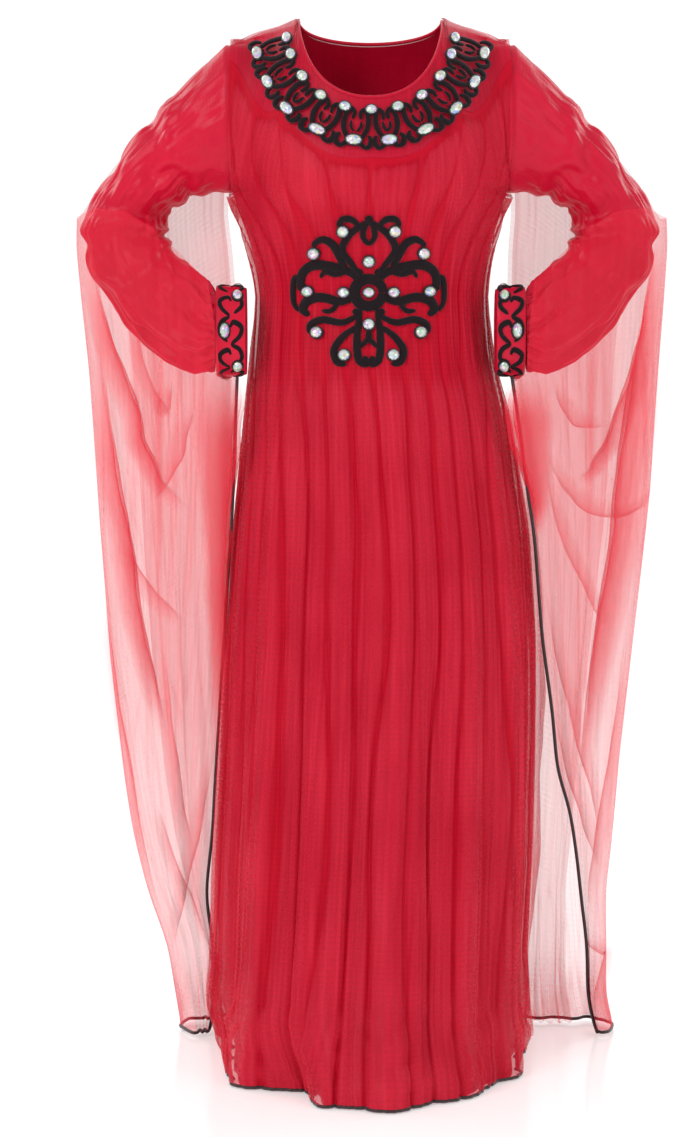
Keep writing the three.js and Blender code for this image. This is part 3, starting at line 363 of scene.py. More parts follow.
def cloth_depth(face, x, z):
    centre, half, front, back = body_plan(z)
    side = np.clip((x - centre) / half, -1, 1)
    body = (front if face == FRONT else back) * np.sqrt(1 - side * side)
    rise = np.clip(1 - (shoulder_line(x) - z) / SHOULDER_ROUND, 0, 1)
    return ARMHOLE_Y + (body - ARMHOLE_Y) * np.sqrt(1 - rise * rise)


def armhole_depth(face, z):
    up = np.clip((z - ARMPIT_Z - ARMHOLE_TALL) / ARMHOLE_TALL, -1, 1)
    return ARMHOLE_Y + face * ARMHOLE_DEEP * np.sqrt(1 - up * up)


def neck_edge(face, turn):
    angle = turn * np.pi / 2
    power = 2 / NECK_SQUARENESS
    x = NECK_HALF * np.sign(turn) * np.abs(np.sin(angle)) ** power
    return x, NECK_SIDE_Z - NECK_DROP[face] * np.abs(np.cos(angle)) ** power


def top_edge(face, across):
    """The panel's top edge: the neckline and then the shoulder seam."""
    share = np.abs(across)
    neck_x, neck_z = neck_edge(face, np.clip(across / NECK_SHARE, -1, 1))
    out = np.clip((share - NECK_SHARE) / (1 - NECK_SHARE), 0, 1)
    x = np.where(share <= NECK_SHARE, neck_x, lerp(NECK_HALF, ARMHOLE_X, out) * np.sign(across))
    z = np.where(share <= NECK_SHARE, neck_z, lerp(NECK_SIDE_Z, SHOULDER_POINT_Z, out))
    return x, z


def yoke_seam(face, across):
    deep = read_smooth(YOKE, "across", "deep", np.abs(across), 0.06)
    return top_edge(face, across)[1] - (deep if face == FRONT else 0.8 * deep)


def broad_fold(face, across, z):
    depth = 0
    for at, width, deep in BROAD_FOLDS[face]:
        away = np.minimum(np.abs(across - at) / width, 1)
        depth = depth + deep * np.cos(away * np.pi / 2) ** 2
    return depth * (1 - ramp(150, 960, z) * 0.75) * (1 - ramp(860, 985, z))


def hem_pool(face, across, z):
    """How far the cloth spreads where it lies on the floor."""
    lobes = 30 * soft_noise(across * 3.4 + 20, 0 * z + face, 71)
    lobes = lobes + 15 * soft_noise(across * 8, 0 * z + 4, 72)
    return (np.minimum(lobes, 16) - 4) * (1 - ramp(0, 95, z)) * (1 - 0.6 * np.abs(across) ** 3)


def panel_points(face, across, z):
    """Points of the satin panel, for arrays of places across it and heights."""
    edge_x, edge_z = top_edge(face, across)
    centre, half, front, back = body_plan(z)
    angle = across * np.pi / 2
    x = lerp(centre + half * np.sin(angle), edge_x, ramp(BUST_Z, edge_z, z))
    to_side = ramp(0.4, 1, np.abs(across)) * ramp(1080, ARMPIT_Z + 10, z)
    apart = SEAM_GAP + SHOULDER_SEAM * ramp(1240, 1340, z)
    y = lerp(cloth_depth(face, x, z), armhole_depth(face, z), to_side) + face * apart
    reach = np.abs(front if face == FRONT else back)
    out = unit(np.stack([np.sin(angle) * reach, face * np.cos(angle) * half, 0 * z], -1))
    moved = broad_fold(face, across, z) + hem_pool(face, across, z)
    return np.stack([x, y, z], -1) + out * moved[..., None]


def panel_grid(face, columns, rows_low, rows_mid, rows_yoke):
    """Places across and heights of a panel's grid, with its rows on the yoke seam."""
    across = np.linspace(-1, 1, columns)
    seam, top = yoke_seam(face, across), top_edge(face, across)[1]
    rise = np.linspace(0, 1, rows_low + 1)[:-1] ** 1.15
    low = np.repeat((rise * BUST_Z)[:, None], columns, 1)
    mid = lerp(BUST_Z, seam, np.linspace(0, 1, rows_mid + 1)[:-1, None])
    high = lerp(seam, top, np.linspace(0, 1, rows_yoke + 1)[:, None])
    z = np.concatenate([low, mid, high])
    return np.broadcast_to(across, z.shape), z, rows_low + rows_mid


def layer_gap(across, z):
    """How far the overlay and the yoke stand off the satin."""
    share = np.abs(across)
    corner = np.clip(1 - np.abs(share - NECK_SHARE) / 0.15, 0, 1)
    high = OVERLAY_GAP_HIGH + 3.2 * corner + 2.4 * ramp(0.6, 0.95, share)
    return lerp(OVERLAY_GAP, high, ramp(BUST_Z, ARMPIT_Z, z))


def gathers(face, across, z):
    """Depth of the overlay's gathers: they spread from the waist to the hem and to the yoke."""
    drift = 0.55 * soft_noise(across * 5 + 9, z / 330, 3) + 0.25 * soft_noise(across * 13, z / 190, 4)
    spread = 1 - 0.42 * ramp(0, 240, z - WAIST_Z) + 0.18 * ramp(0, 300, WAIST_Z - z)
    place = across * spread
    wide = 1 - np.abs(np.sin(place * np.pi * 7.5 + 1.6 * drift)) ** 0.8
    fine = 0.5 - 0.5 * np.cos(place * np.pi * 41 + 5.0 * drift)
    finest = 0.5 - 0.5 * np.cos(place * np.pi * 88 + 7.0 * drift + 3 * soft_noise(place * 20, z / 120, 5))
    patch = 0.6 + 0.4 * soft_noise(across * 9, z / 260, 6)
    deep = np.interp(z, (0, 300, 700, 950, 1017, 1100, 1200, 1300), (9, 8.5, 6.5, 4.5, 3, 4, 3.6, 0.6))
    full = deep * (1.15 - 1.15 * wide ** 1.5 + 0.34 * fine * patch)
    full = full + 0.2 * deep * finest * (0.7 + 0.3 * patch)
    crumple = np.abs(soft_noise(across * 9 + z / 55, z / 42 - across * 7, 73))
    full = full + 9 * crumple * (1 - ramp(40, 150, z)) * ramp(0, 25, z)
    centre_x = centre_of_panel(across, z)
    flat = (1 - ramp(98, 135, np.abs(centre_x))) * (1 - ramp(100, 150, np.abs(z - WAIST_Z)))
    seam = yoke_seam(face, across)
    return full * (1 - 0.55 * flat * (face == FRONT)) * (1 - ramp(seam - 30, seam, z))


def centre_of_panel(across, z):
    centre, half, _, _ = body_plan(z)
    return centre + half * np.sin(across * np.pi / 2) - WAIST_X


# Meshes


def add_mesh(name, points, faces, material, attributes=None, spots=None):
    """An object in metres from points in millimetres above the floor."""
    points = np.asarray(points, float).reshape(-1, 3) - (0, 0, SHOULDER_HEIGHT)
    mesh = bpy.data.meshes.new(name)
    mesh.from_pydata((points * MM).tolist(), [], faces)
    mesh.update()
    for key, values in (attributes or {}).items():
        layer = mesh.attributes.new(key, "FLOAT", "POINT")
        layer.data.foreach_set("value", np.asarray(values, np.float32).ravel())
    if spots is not None:
        corner = np.zeros(len(mesh.loops), int)
        mesh.loops.foreach_get("vertex_index", corner)
        flat = np.asarray(spots, np.float32).reshape(-1, 2)[corner]
        mesh.uv_layers.new(name="Cloth").data.foreach_set("uv", flat.ravel())
    mesh.polygons.foreach_set("use_smooth", np.ones(len(mesh.polygons), bool))
    mesh.materials.append(material_of(material))
    piece = bpy.data.objects.new(name, mesh)
    bpy.context.scene.collection.objects.link(piece)
    return piece


def grid_faces(rows, columns, closed=False):
    spans = columns if closed else columns - 1
    j, i = np.meshgrid(np.arange(rows - 1), np.arange(spans), indexing="ij")
    right = (i + 1) % columns
    corners = [j * columns + i, j * columns + right, (j + 1) * columns + right, (j + 1) * columns + i]
    return np.stack(corners, -1).reshape(-1, 4).tolist()


def end_caps(rows, sides):
    """The two end faces of a tube of rings."""
    ring = list(range(sides))
    return [ring[::-1], [(rows - 1) * sides + k for k in ring]]


def cloth_spots(points):
    """Places on the flat cloth in metres, measured along the grid's rows and columns."""
    across = np.linalg.norm(np.diff(points, axis=1), axis=-1).mean(0)
    up = np.linalg.norm(np.diff(points, axis=0), axis=-1).mean(1)
    u, v = np.concatenate([[0], np.cumsum(across)]), np.concatenate([[0], np.cumsum(up)])
    return np.stack(np.broadcast_arrays(u[None, :], v[:, None]), -1) * MM


def add_cloth(name, points, material, attributes=None, closed=False, thick=0.0):
    """A sheet of cloth from a grid of points, with its flat places for the weave."""
    spots = cloth_spots(points)
    if closed:
        points = np.concatenate([points, points[:, :1]], 1)
        spots = cloth_spots(points)
        attributes = {k: np.concatenate([v, v[:, :1]], 1) for k, v in (attributes or {}).items()}
    rows, columns = points.shape[:2]
    piece = add_mesh(name, points, grid_faces(rows, columns), material, attributes, spots)
    if thick:
        wall = piece.modifiers.new("Cloth thickness", "SOLIDIFY")
        wall.thickness, wall.offset = thick * MM, -1
    return piece


def finish_piece(piece, nodes=()):
    if nodes:
        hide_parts(*nodes)
    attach(piece, "root")
    return piece


def state_sheet(piece, kind=None):
    """Looks up a sheet's flat width, length and cut area; nothing is done with them."""
    width, length, area = FLATS[kind or piece.name]


def add_tube(name, path, radius, material, sides=10, closed=False):
    """A round cord along a path of points."""
    path = np.asarray(path, float)
    count = len(path)
    along = unit(np.roll(path, -1, 0) - np.roll(path, 1, 0)) if closed else unit(np.gradient(path, axis=0))
    side = unit(np.cross(along[0], (0.3, 0.2, 1.0)))
    rings = []
    for place, forward in zip(path, along):
        side = unit(side - forward * np.dot(side, forward))
        over = np.cross(forward, side)
        turn = np.linspace(0, 2 * np.pi, sides, endpoint=False)[:, None]
        rings.append(place + radius * (np.cos(turn) * side + np.sin(turn) * over))
    points = np.array(rings)
    faces = grid_faces(count, sides, True)
    if closed:
        first, last = np.arange(sides), (count - 1) * sides + np.arange(sides)
        gap = np.linalg.norm(points[-1][:, None] - points[0][None], axis=-1)
        shift = int(np.argmin([gap[first, (first + k) % sides].sum() for k in range(sides)]))
        faces += [[int(last[k]), int(last[(k + 1) % sides]), int(first[(k + 1 + shift) % sides]),
                   int(first[(k + shift) % sides])] for k in range(sides)]
    else:
        faces += end_caps(count, sides)
    spots = np.stack(np.meshgrid(np.linspace(0, 0.01, sides), np.arange(count) * 0.004), -1)
    return add_mesh(name, points, faces, material, None, spots)


# Shader building


class Value:
    """A socket of a material's nodes. Arithmetic on it adds Math nodes."""

    def __init__(self, nodes, socket):
        self.nodes, self.socket = nodes, socket

    def maths(self, operation, *values, **settings):
        settings["operation"] = operation
        return self.nodes.add("ShaderNodeMath", settings, dict(enumerate(values)))

    def __add__(self, other):
        return self.maths("ADD", self, other)

    def __sub__(self, other):
        return self.maths("SUBTRACT", self, other)

    def __rsub__(self, other):
        return self.maths("SUBTRACT", other, self)

    def __mul__(self, other):
        return self.maths("MULTIPLY", self, other)

    __radd__, __rmul__ = __add__, __mul__

    def held(self):
        """The same value kept between 0 and 1."""
        return self.maths("ADD", self, 0.0, use_clamp=True)


class Nodes:
    """A material's node tree, with one method that adds any node."""

    def __init__(self, tree):
        self.tree = tree

    def add(self, kind, settings=None, inputs=None, output=0):
        """Adds a node, sets it up, and links or sets its inputs. Returns one of its outputs."""
        node = self.tree.nodes.new(kind)
        for key, value in (settings or {}).items():
            if key == "stops":
                elements = node.color_ramp.elements
                while len(elements) < len(value):
                    elements.new(0.5)
                for stop, (place, colour) in zip(elements, value):
                    stop.position, stop.color = place, (*colour, 1)
            else:
                setattr(node, key, value)
        for key, value in (inputs or {}).items():
            if isinstance(value, Value):
                self.tree.links.new(value.socket, node.inputs[key])
            else:
                node.inputs[key].default_value = value
        return Value(self, node.outputs[output])

    def mix(self, factor, first, second):
        colours_in = {0: factor, 6: (*first, 1), 7: (*second, 1)}
        return self.add("ShaderNodeMix", {"data_type": "RGBA"}, colours_in, 2)

    def cloth_place(self):
        return self.add("ShaderNodeUVMap", {"uv_map": "Cloth"})

    def object_place(self):
        return self.add("ShaderNodeTexCoord", output=3)

    def noise(self, place, scale, detail=3.0, rough=0.5):
        inputs = {"Vector": place, "Scale": scale, "Detail": detail, "Roughness": rough}
        return self.add("ShaderNodeTexNoise", None, inputs)

    def stretched(self, place, scale):
        return self.add("ShaderNodeVectorMath", {"operation": "MULTIPLY"}, {0: place, 1: scale})

    def weave(self, place, threads):
        """Height of a plain weave with that many threads to the metre."""
        waves = []
        for direction in ("X", "Y"):
            settings = {"wave_type": "BANDS", "bands_direction": direction, "wave_profile": "SIN"}
            inputs = {"Vector": place, "Scale": threads / WAVES_PER_SCALE, "Distortion": 0.0}
            waves.append(self.add("ShaderNodeTexWave", settings, inputs, 1))
        return waves[0] * 0.5 + waves[1] * 0.5

    def bump(self, height, strength, distance):
        inputs = {"Height": height, "Strength": strength, "Distance": distance}
        return self.add("ShaderNodeBump", None, inputs)

    def surface_value(self, name):
        return self.add("ShaderNodeAttribute", {"attribute_name": name}, None, 2)


def new_material(name, settings, paint):
    """A material whose shader has fixed settings; paint links what changes over the surface."""
    material = bpy.data.materials.new(name)
    material.use_nodes = True
    tree = material.node_tree
    shader = tree.nodes["Principled BSDF"]
    for key, value in settings.items():
        shader.inputs[key].default_value = value
    for key, value in paint(Nodes(tree)).items():
        tree.links.new(value.socket, shader.inputs[key])
    return material


def satin_material(name, deep, bright):
    """Smooth satin: long soft streaks of painted light and shade, a fine weave and a silky highlight."""
    def paint(nodes):
        place = nodes.cloth_place()
        streak = nodes.noise(nodes.stretched(place, (60, 5, 1)), 1.0, 4.0)
        cloud = nodes.noise(nodes.object_place(), 7.0, 3.0)
        # Painted light and shade: streak and cloud noise mix shaded and lit satin into the base colour
        colour = nodes.mix((streak * 0.5 + cloud * 0.6 - 0.1).held(), deep, bright)
        slub = nodes.noise(nodes.stretched(place, (500, 60, 1)), 1.0)
        height = nodes.weave(place, 1400) * 0.25 + slub * 0.5
        crease = nodes.noise(place, 26.0, 3.0, 0.6)
        rough = 0.27 + streak * 0.12 + crease * 0.08
        normal = nodes.bump(height + crease * 2.2, 0.35, 0.0012)
        return {"Base Color": colour, "Roughness": rough, "Normal": normal}
    fixed = {"Sheen Weight": 0.04, "Sheen Roughness": 0.3, "Sheen Tint": (1, 0.3, 0.35, 1),
             "Specular IOR Level": 0.24, "Anisotropic": 0.4}
    return new_material(name, fixed, paint)


def sheer_material(name, deep, bright, cover, fold_cover, uneven, sheen, shade, gloss):
    """Fine see-through mesh: each layer hides a little, and its bunched folds hide more."""
    def paint(nodes):
        place = nodes.cloth_place()
        full = nodes.surface_value("fold_density")
        thread = nodes.weave(place, 900)
        patch = nodes.noise(nodes.object_place(), 9.0, 1.0)
        streak = nodes.noise(nodes.stretched(place, (140, 6, 1)), 1.0, 2.0)
        # Painted shade: the fold cover attribute times shade darkens the colour in folds and valleys; patch
        # and streak noise vary the tone
        light = (patch * 0.7 + streak * 0.8 - 0.1 - full * shade).held()
        colour = nodes.mix(light, deep, bright)
        drift = (thread - 0.5) * 0.1 + (streak - 0.5) * 0.16 + (patch - 0.5) * 0.06
        veil = nodes.surface_value("veil")
        alpha = (full * fold_cover + (drift * uneven + cover) * veil).held()
        return {"Base Color": colour, "Alpha": alpha, "Roughness": 0.42 + patch * 0.2}
    fixed = {"Sheen Weight": sheen, "Sheen Roughness": 0.3, "Sheen Tint": (1, 0.62, 0.66, 1),
             "Specular IOR Level": gloss}
    return new_material(name, fixed, paint)


def velvet_material():
    """Black velvet: short pile with a soft grey bloom at its edges."""
    def paint(nodes):
        pile = nodes.noise(nodes.object_place(), 900.0, 4.0, 0.7)
        worn = nodes.noise(nodes.object_place(), 60.0, 3.0)
        light = (pile * 0.6 + worn * 0.5 - 0.15).held()
        colour = nodes.mix(light, (0.004, 0.003, 0.004), (0.028, 0.017, 0.021))
        normal = nodes.bump(pile, 0.6, 0.0008)
        return {"Base Color": colour, "Roughness": 0.8 + worn * 0.2, "Normal": normal}
    fixed = {"Sheen Weight": 0.35, "Sheen Roughness": 0.5, "Sheen Tint": (0.5, 0.42, 0.46, 1),
             "Specular IOR Level": 0.1}
    return new_material("Black velvet", fixed, paint)


def piping_material():
    def paint(nodes):
        place = nodes.object_place()
        twist = nodes.noise(nodes.stretched(place, (700, 700, 160)), 1.0, 3.0)
        colour = nodes.mix(twist, (0.006, 0.004, 0.005), (0.035, 0.012, 0.016))
        normal = nodes.bump(twist, 0.4, 0.0006)
        return {"Base Color": colour, "Roughness": 0.3 + twist * 0.25, "Normal": normal}
    return new_material("Black satin piping", {"Sheen Weight": 0.2, "Specular IOR Level": 0.5}, paint)


def crystal_material():
    """Domed stone with a pearly coat: pale, with painted reflection flashes of green, rose and blue in its
    base colour.
    """
    def paint(nodes):
        place = nodes.object_place()
        facet = nodes.add("ShaderNodeTexVoronoi", None, {"Vector": place, "Scale": 260.0}, 1)
        tone = nodes.add("ShaderNodeSeparateColor", None, {"Color": facet})
        colour = nodes.add("ShaderNodeValToRGB", {"stops": PEARL_AND_FLASH_STOPS}, {"Fac": tone})
        depth = nodes.noise(place, 240.0, 2.0)
        normal = nodes.bump(tone, 0.25, 0.0006)
        return {"Base Color": colour, "Roughness": 0.05 + depth * 0.12, "Normal": normal}
    fixed = {"Coat Weight": 0.5, "Coat Roughness": 0.03, "Specular IOR Level": 0.5, "Metallic": 0.3}
    return new_material("Pearly stone", fixed, paint)


def setting_material():
    def paint(nodes):
        grain = nodes.noise(nodes.object_place(), 400.0, 2.0)
        colour = nodes.mix(grain, (0.02, 0.018, 0.02), (0.09, 0.08, 0.085))
        return {"Base Color": colour, "Roughness": 0.35 + grain * 0.3}
    return new_material("Stone setting", {"Metallic": 0.6}, paint)


def floor_material():
    def paint(nodes):
        cloud = nodes.noise(nodes.object_place(), 1.5, 2.0)
        colour = nodes.mix(cloud, (0.93, 0.93, 0.93), (0.96, 0.96, 0.96))
        return {"Base Color": colour, "Roughness": 0.14 + cloud * 0.06}
    fixed = {"Emission Color": (1, 1, 1, 1), "Emission Strength": 0.32, "Specular IOR Level": 0.3}
    return new_material("Pale studio floor", fixed, paint)


def sizes():
    return bpy.context.scene.kaftan_sizes


def colours():
    return bpy.context.scene.kaftan_colours


def chosen(*names):
    return [tuple(getattr(colours(), name)) for name in names]


MADE = {}
MATERIALS = {
    "satin": lambda: satin_material("Red satin", *chosen("satin_deep", "satin_bright")),
    "overlay": lambda: sheer_material(
        "Red sheer mesh, gathered", *chosen("overlay_deep", "overlay_bright"),
        cover=0.45, fold_cover=0.5, uneven=1.0, sheen=0.06, shade=1.1, gloss=0.14),
    # The yoke mixes the shaded and lit satin colours by noise: painted light and shade
    "yoke": lambda: sheer_material(
        "Red yoke mesh", *chosen("satin_deep", "satin_bright"),
        cover=0.5, fold_cover=0.3, uneven=0.8, sheen=0.05, shade=0.0, gloss=0.25),
    "wing": lambda: sheer_material(
        "Red sheer mesh", *chosen("sheer_deep", "sheer_bright"),
        cover=sizes().layer_cover, fold_cover=0.55, uneven=0.5, sheen=0.0, shade=0.2, gloss=0.1),
    "velvet": velvet_material,
    "piping": piping_material,
    "crystal": crystal_material,
    "setting": setting_material,
    "floor": floor_material,
}


def material_of(key):
    """The named material, made the first time that it is asked for."""
    if key not in MADE:
        MADE[key] = MATERIALS[key]()
    return MADE[key]


# Property groups


class KaftanSizes(bpy.types.PropertyGroup):
    piping_radius: FloatProperty(name="Piping radius", description="Radius of the black piping",
                                 default=2.3, min=1, max=5, unit="NONE")
    gather_depth: FloatProperty(name="Gather depth", description="Depth of the overlay's gathers",
                                default=1.0, min=0, max=2, subtype="FACTOR")
    wing_fullness: FloatProperty(name="Wing fullness", description="Width of the wings' bunched folds",
                                 default=1.0, min=0, max=2, subtype="FACTOR")
    layer_cover: FloatProperty(name="Layer cover", description="How much one layer of the sheer mesh hides",
                               default=0.3, min=0.02, max=0.9, subtype="FACTOR")
    ribbon_height: FloatProperty(name="Ribbon height", description="Height of the velvet, in millimetres",
                                 default=2.4, min=0.5, max=4, unit="NONE")
    stone_height: FloatProperty(name="Stone height", description="Height of the domes, in millimetres",
                                default=5.2, min=2, max=8, unit="NONE")


def colour_property(name, description, default):
    return FloatVectorProperty(name=name, description=description, default=default, min=0, max=1,
                               subtype="COLOR")


class KaftanColours(bpy.types.PropertyGroup):
    # Satin colours: shaded and lit satin, mixed by noise as painted light and shade
    satin_deep: colour_property("Deep satin", "Satin in its shaded streaks", (0.5, 0.0015, 0.024))
    satin_bright: colour_property("Bright satin", "Satin in its light streaks", (0.84, 0.005, 0.045))
    # Overlay colours: painted shade in the gathers' folds and a pinkish painted highlight on their ridges
    overlay_deep: colour_property("Deep overlay", "Gathered sheer layer in its folds", (0.6, 0.0008, 0.02))
    overlay_bright: colour_property("Bright overlay", "Gathered sheer layer on ridges", (1.0, 0.04, 0.085))
    sheer_deep: colour_property("Deep sheer", "Sheer mesh in its darker patches", (0.93, 0.01, 0.04))
    sheer_bright: colour_property("Bright sheer", "Sheer mesh in its lighter patches", (1.0, 0.05, 0.085))


# Pieces


def gown_panel(face, label):
    """The satin gown's front or back, with small unevenness in its lower part."""
    across, z, _ = panel_grid(face, 150, 90, 14, 16)
    points = panel_points(face, across, z)
    small = soft_noise(across * 12, z / 160, 11) * 1.2 * (1 - ramp(1080, 1160, z))
    points = points + grid_normals(points) * (small * -face)[..., None]
    piece = add_cloth(f"gown_satin_{label}", points, "satin")
    finish_piece(piece, [f"gown_{label}"])
    state_sheet(piece)


def overlay_panel(face, label):
    """The gathered sheer layer up to the yoke seam, and the smooth yoke over it."""
    across, z, seam = panel_grid(face, 540 if face == FRONT else 300, 124, 30, 22)
    base = panel_points(face, across, z)
    normal = grid_normals(base) * -face
    depth = gathers(face, across, z) * sizes().gather_depth
    points = base + normal * (layer_gap(across, z) + depth + 0.5)[..., None]
    points[0, :, 2] = HEM_LIFT
    # The valleys raise the overlay's cover and, through its material's shade, paint shade into its colour
    valley = 1 - depth / np.maximum(np.interp(z, (0, 700, 1017, 1300), (12, 9, 4.6, 1.6)), 1)
    cover_and_shade = np.clip(0.12 + 1.1 * np.clip(valley, 0, 1) ** 1.4, 0, 1)
    cover_and_shade = cover_and_shade[: seam + 1]
    values = {"fold_density": cover_and_shade, "veil": np.ones_like(cover_and_shade)}
    overlay = add_cloth(f"sheer_overlay_{label}", points[: seam + 1], "overlay", values)
    finish_piece(overlay, [f"overlay_{label}"])
    state_sheet(overlay)
    high = across[seam:, ::3], z[seam:, ::3]
    smooth = panel_points(face, *high)
    out = grid_normals(smooth) * -face
    soft = 0.5 * soft_noise(high[0] * 14, high[1] / 60, 8)
    smooth = smooth + out * (layer_gap(*high) + 0.8 + soft)[..., None]
    values = {"fold_density": 0.4 + 0 * high[0], "veil": np.ones_like(high[0])}
    yoke = add_cloth(f"yoke_{label}_panel", smooth, "yoke", values)
    finish_piece(yoke, [f"yoke_{label}"])
    state_sheet(yoke)


def side_fall(side, label):
    """Loose sheer cloth of the overlay that hangs beyond the satin at one side of the skirt."""
    rows = SIDE_FALL[side]
    run, step = np.meshgrid(np.linspace(-1, 1, 90), np.linspace(0, 1, 130))
    z = lerp(rows["z"][-1], HEM_LIFT, step)
    turn = np.cos(run * np.pi / 2)
    edge = at_height(rows, "body", z)
    reach = at_height(rows, "reach", z) + 4 * soft_noise(z / 60, 0 * z + side, 91)
    reach = reach * ramp(0, 0.12, step)
    x = edge - 9 + (reach + 9) * turn ** 0.6
    deep = at_height(rows, "deep", z)
    wave = 5 * soft_noise(run * 3, z / 170, 92) + 3 * soft_noise(run * 8, z / 110, 93)
    y = 8 + deep * run + wave * turn
    lines = soft_noise(run * 7, z / 240, 94) + 0.5 * soft_noise(run * 17, z / 200, 95)
    # Streaky cover, which also darkens the colour a little as painted shade
    values = {"fold_density": np.clip(0.24 * lines + 0.14, 0, 0.6), "veil": 1.15 * np.ones_like(z)}
    piece = add_cloth(f"sheer_side_fall_{label}", np.stack([side * x, y, z], -1), "wing", values)
    finish_piece(piece)
    state_sheet(piece)


def hem_line(face, count, height):
    """The overlay's hem, as a line for its piping."""
    across = np.linspace(-1, 1, count)[None]
    z = np.zeros_like(across)
    rows = np.concatenate([z, z + 6])
    base = panel_points(face, np.repeat(across, 2, 0), rows)
    normal = grid_normals(base)[0] * -face
    depth = gathers(face, across, z)[0] * 0.75
    line = base[0] + normal * (OVERLAY_GAP + depth + 1)[:, None]
    line[:, 2] = height
    return line


def neck_line(face):
    """The neck's edge between the gown and the yoke, as a line for its binding."""
    turn = np.linspace(-1, 1, 64)
    across = np.repeat((turn * NECK_SHARE)[None], 3, 0)
    top = top_edge(face, across)[1]
    base = panel_points(face, across, top - np.array([[16], [8], [0]]))
    normal = grid_normals(base)[-1] * -face
    onward = unit(base[-1] - base[-2])
    return base[-1] + normal * (OVERLAY_GAP_HIGH / 2) + onward * 2.6


def sleeve_ring(side, place, angle, extra=0.0):
    """A point of the sleeve at a place along its rings, and an angle round it."""
    index = np.arange(len(SLEEVE["y"]))
    ring = {}
    for name, values in SLEEVE.items():
        near, here, far = (np.interp(place + shift, index, values) for shift in (-0.35, 0, 0.35))
        ring[name] = (near + 2 * here + far) / 4
    middle_x, middle_z = (ring["in_x"] + ring["out_x"]) / 2, (ring["in_z"] + ring["out_z"]) / 2
    middle = np.stack([middle_x, ring["y"], middle_z], -1)
    outer = np.stack([ring["out_x"], ring["y"], ring["out_z"]], -1) - middle
    tall = np.linalg.norm(outer, axis=-1)
    point = middle + unit(outer) * (np.cos(angle) * (tall + extra))[..., None]
    point[..., 1] += np.sin(angle) * (ring["deep"] + extra)
    point[..., 0] *= side
    return point


def sleeve(side, label):
    """A bishop sleeve: dragged creases above the elbow, pleats where the cuff gathers it."""
    rings, around = 126, 190
    end = len(SLEEVE["y"]) - 1
    turns = np.linspace(0, 2 * np.pi, around, endpoint=False)
    place, angle = np.meshgrid(np.linspace(0, end, rings), turns, indexing="ij")
    near_cuff = ramp(6.2, end, place)
    swing = 0.9 * soft_noise(place * 0.8, np.cos(angle) * 2 + 5, 21)
    swing = swing + 0.5 * soft_noise(place * 1.7, np.sin(angle) * 3 + 9, 22)
    pleats = np.cos(angle * 17 + swing * 2.4) * 3.6 * near_cuff * (1 - 0.35 * ramp(end - 0.7, end, place))
    low_arm = ramp(5.0, 8, place) * (1 - 0.7 * ramp(9.5, end, place))
    broad = np.cos(angle * 7 + swing * 3 + place * 0.9) * 4.5 * low_arm
    high_arm = ramp(0.6, 2.5, place) * (1 - ramp(6.5, 8.5, place))
    drag = np.cos(place * 4.2 + 2.4 * swing + np.sin(angle) * 1.6) * 4.2 * high_arm
    fine = soft_noise(angle * 9, place * 2.5, 23) * 1.8
    extra = (pleats + broad + drag + fine - 1.5 - 3.5 * near_cuff) * ramp(-0.2, 0.6, place)
    extra = extra + 3 * (1 - ramp(0, 1, place))
    points = sleeve_ring(side, place, angle, extra)
    tucked = sleeve_ring(side, 0 * place[:1], angle[:1], 2.0) - (side * 8.0, 0, 0)
    points = np.concatenate([tucked, points])
    piece = add_cloth(f"bishop_sleeve_{label}", points, "satin", closed=True)
    finish_piece(piece, [f"sleeve_{label}"])
    state_sheet(piece, kind="bishop_sleeve")


def cuff_point(side, share, turn, height):
    """A point over a cuff, at a share of its length, an angle round it and a height."""
    tall = lerp(*CUFF["tall"], share) + height
    deep = lerp(*CUFF["deep"], share) + height
    x = side * lerp(CUFF["from"], CUFF["to"], share)
    y, z = CUFF["y"] + deep * np.sin(turn), CUFF["z"] + tall * np.cos(turn)
    return np.stack(np.broadcast_arrays(x, y, z), -1)


def cuff(side, label):
    turns = np.linspace(0, 2 * np.pi, 96, endpoint=False)
    share, turn = np.meshgrid(np.linspace(0, 1, 20), turns, indexing="ij")
    roll = 1.6 * (1 - np.abs(2 * share - 1) ** 6) + 0.5 * soft_noise(turn * 6, share * 3, 31)
    points = cuff_point(side, share, turn, roll - CUFF_THICK / 2)
    piece = add_cloth(f"cuff_band_{label}", points, "satin", closed=True, thick=CUFF_THICK)
    finish_piece(piece, [f"cuff_{label}"])
    state_sheet(piece, "cuff_band")


def wing_parts(n):
    """A column's share of the way from an edge to the elbow fold, and its turn round that fold."""
    beyond = n - BACK_RUN - FOLD_RUN
    share = np.where(n <= BACK_RUN, n / BACK_RUN, np.where(beyond < 0, 1, 1 - beyond / FRONT_RUN))
    return share, np.clip((n - BACK_RUN) / FOLD_RUN, 0, 1)


def wing_span(side, z, behind):
    """The wing's inner edge, the start of its elbow fold and its outline at a height."""
    rows = WING[side]
    out = at_height(rows, "out", z)
    start = out - FOLD_LENGTH * lerp(0.45, 1, ramp(0, 900, z))
    inner = np.where(behind, at_height(rows, "inner", z), at_height(rows, "edge", z))
    return inner, start, out


def wing_across(side, n, z):
    """How far out a wing's column lies at a height."""
    share, turn = wing_parts(n)
    inner, start, out = wing_span(side, z, turn < 0.5)
    return lerp(inner, start, share) + (out - start) * np.sin(np.pi * turn)


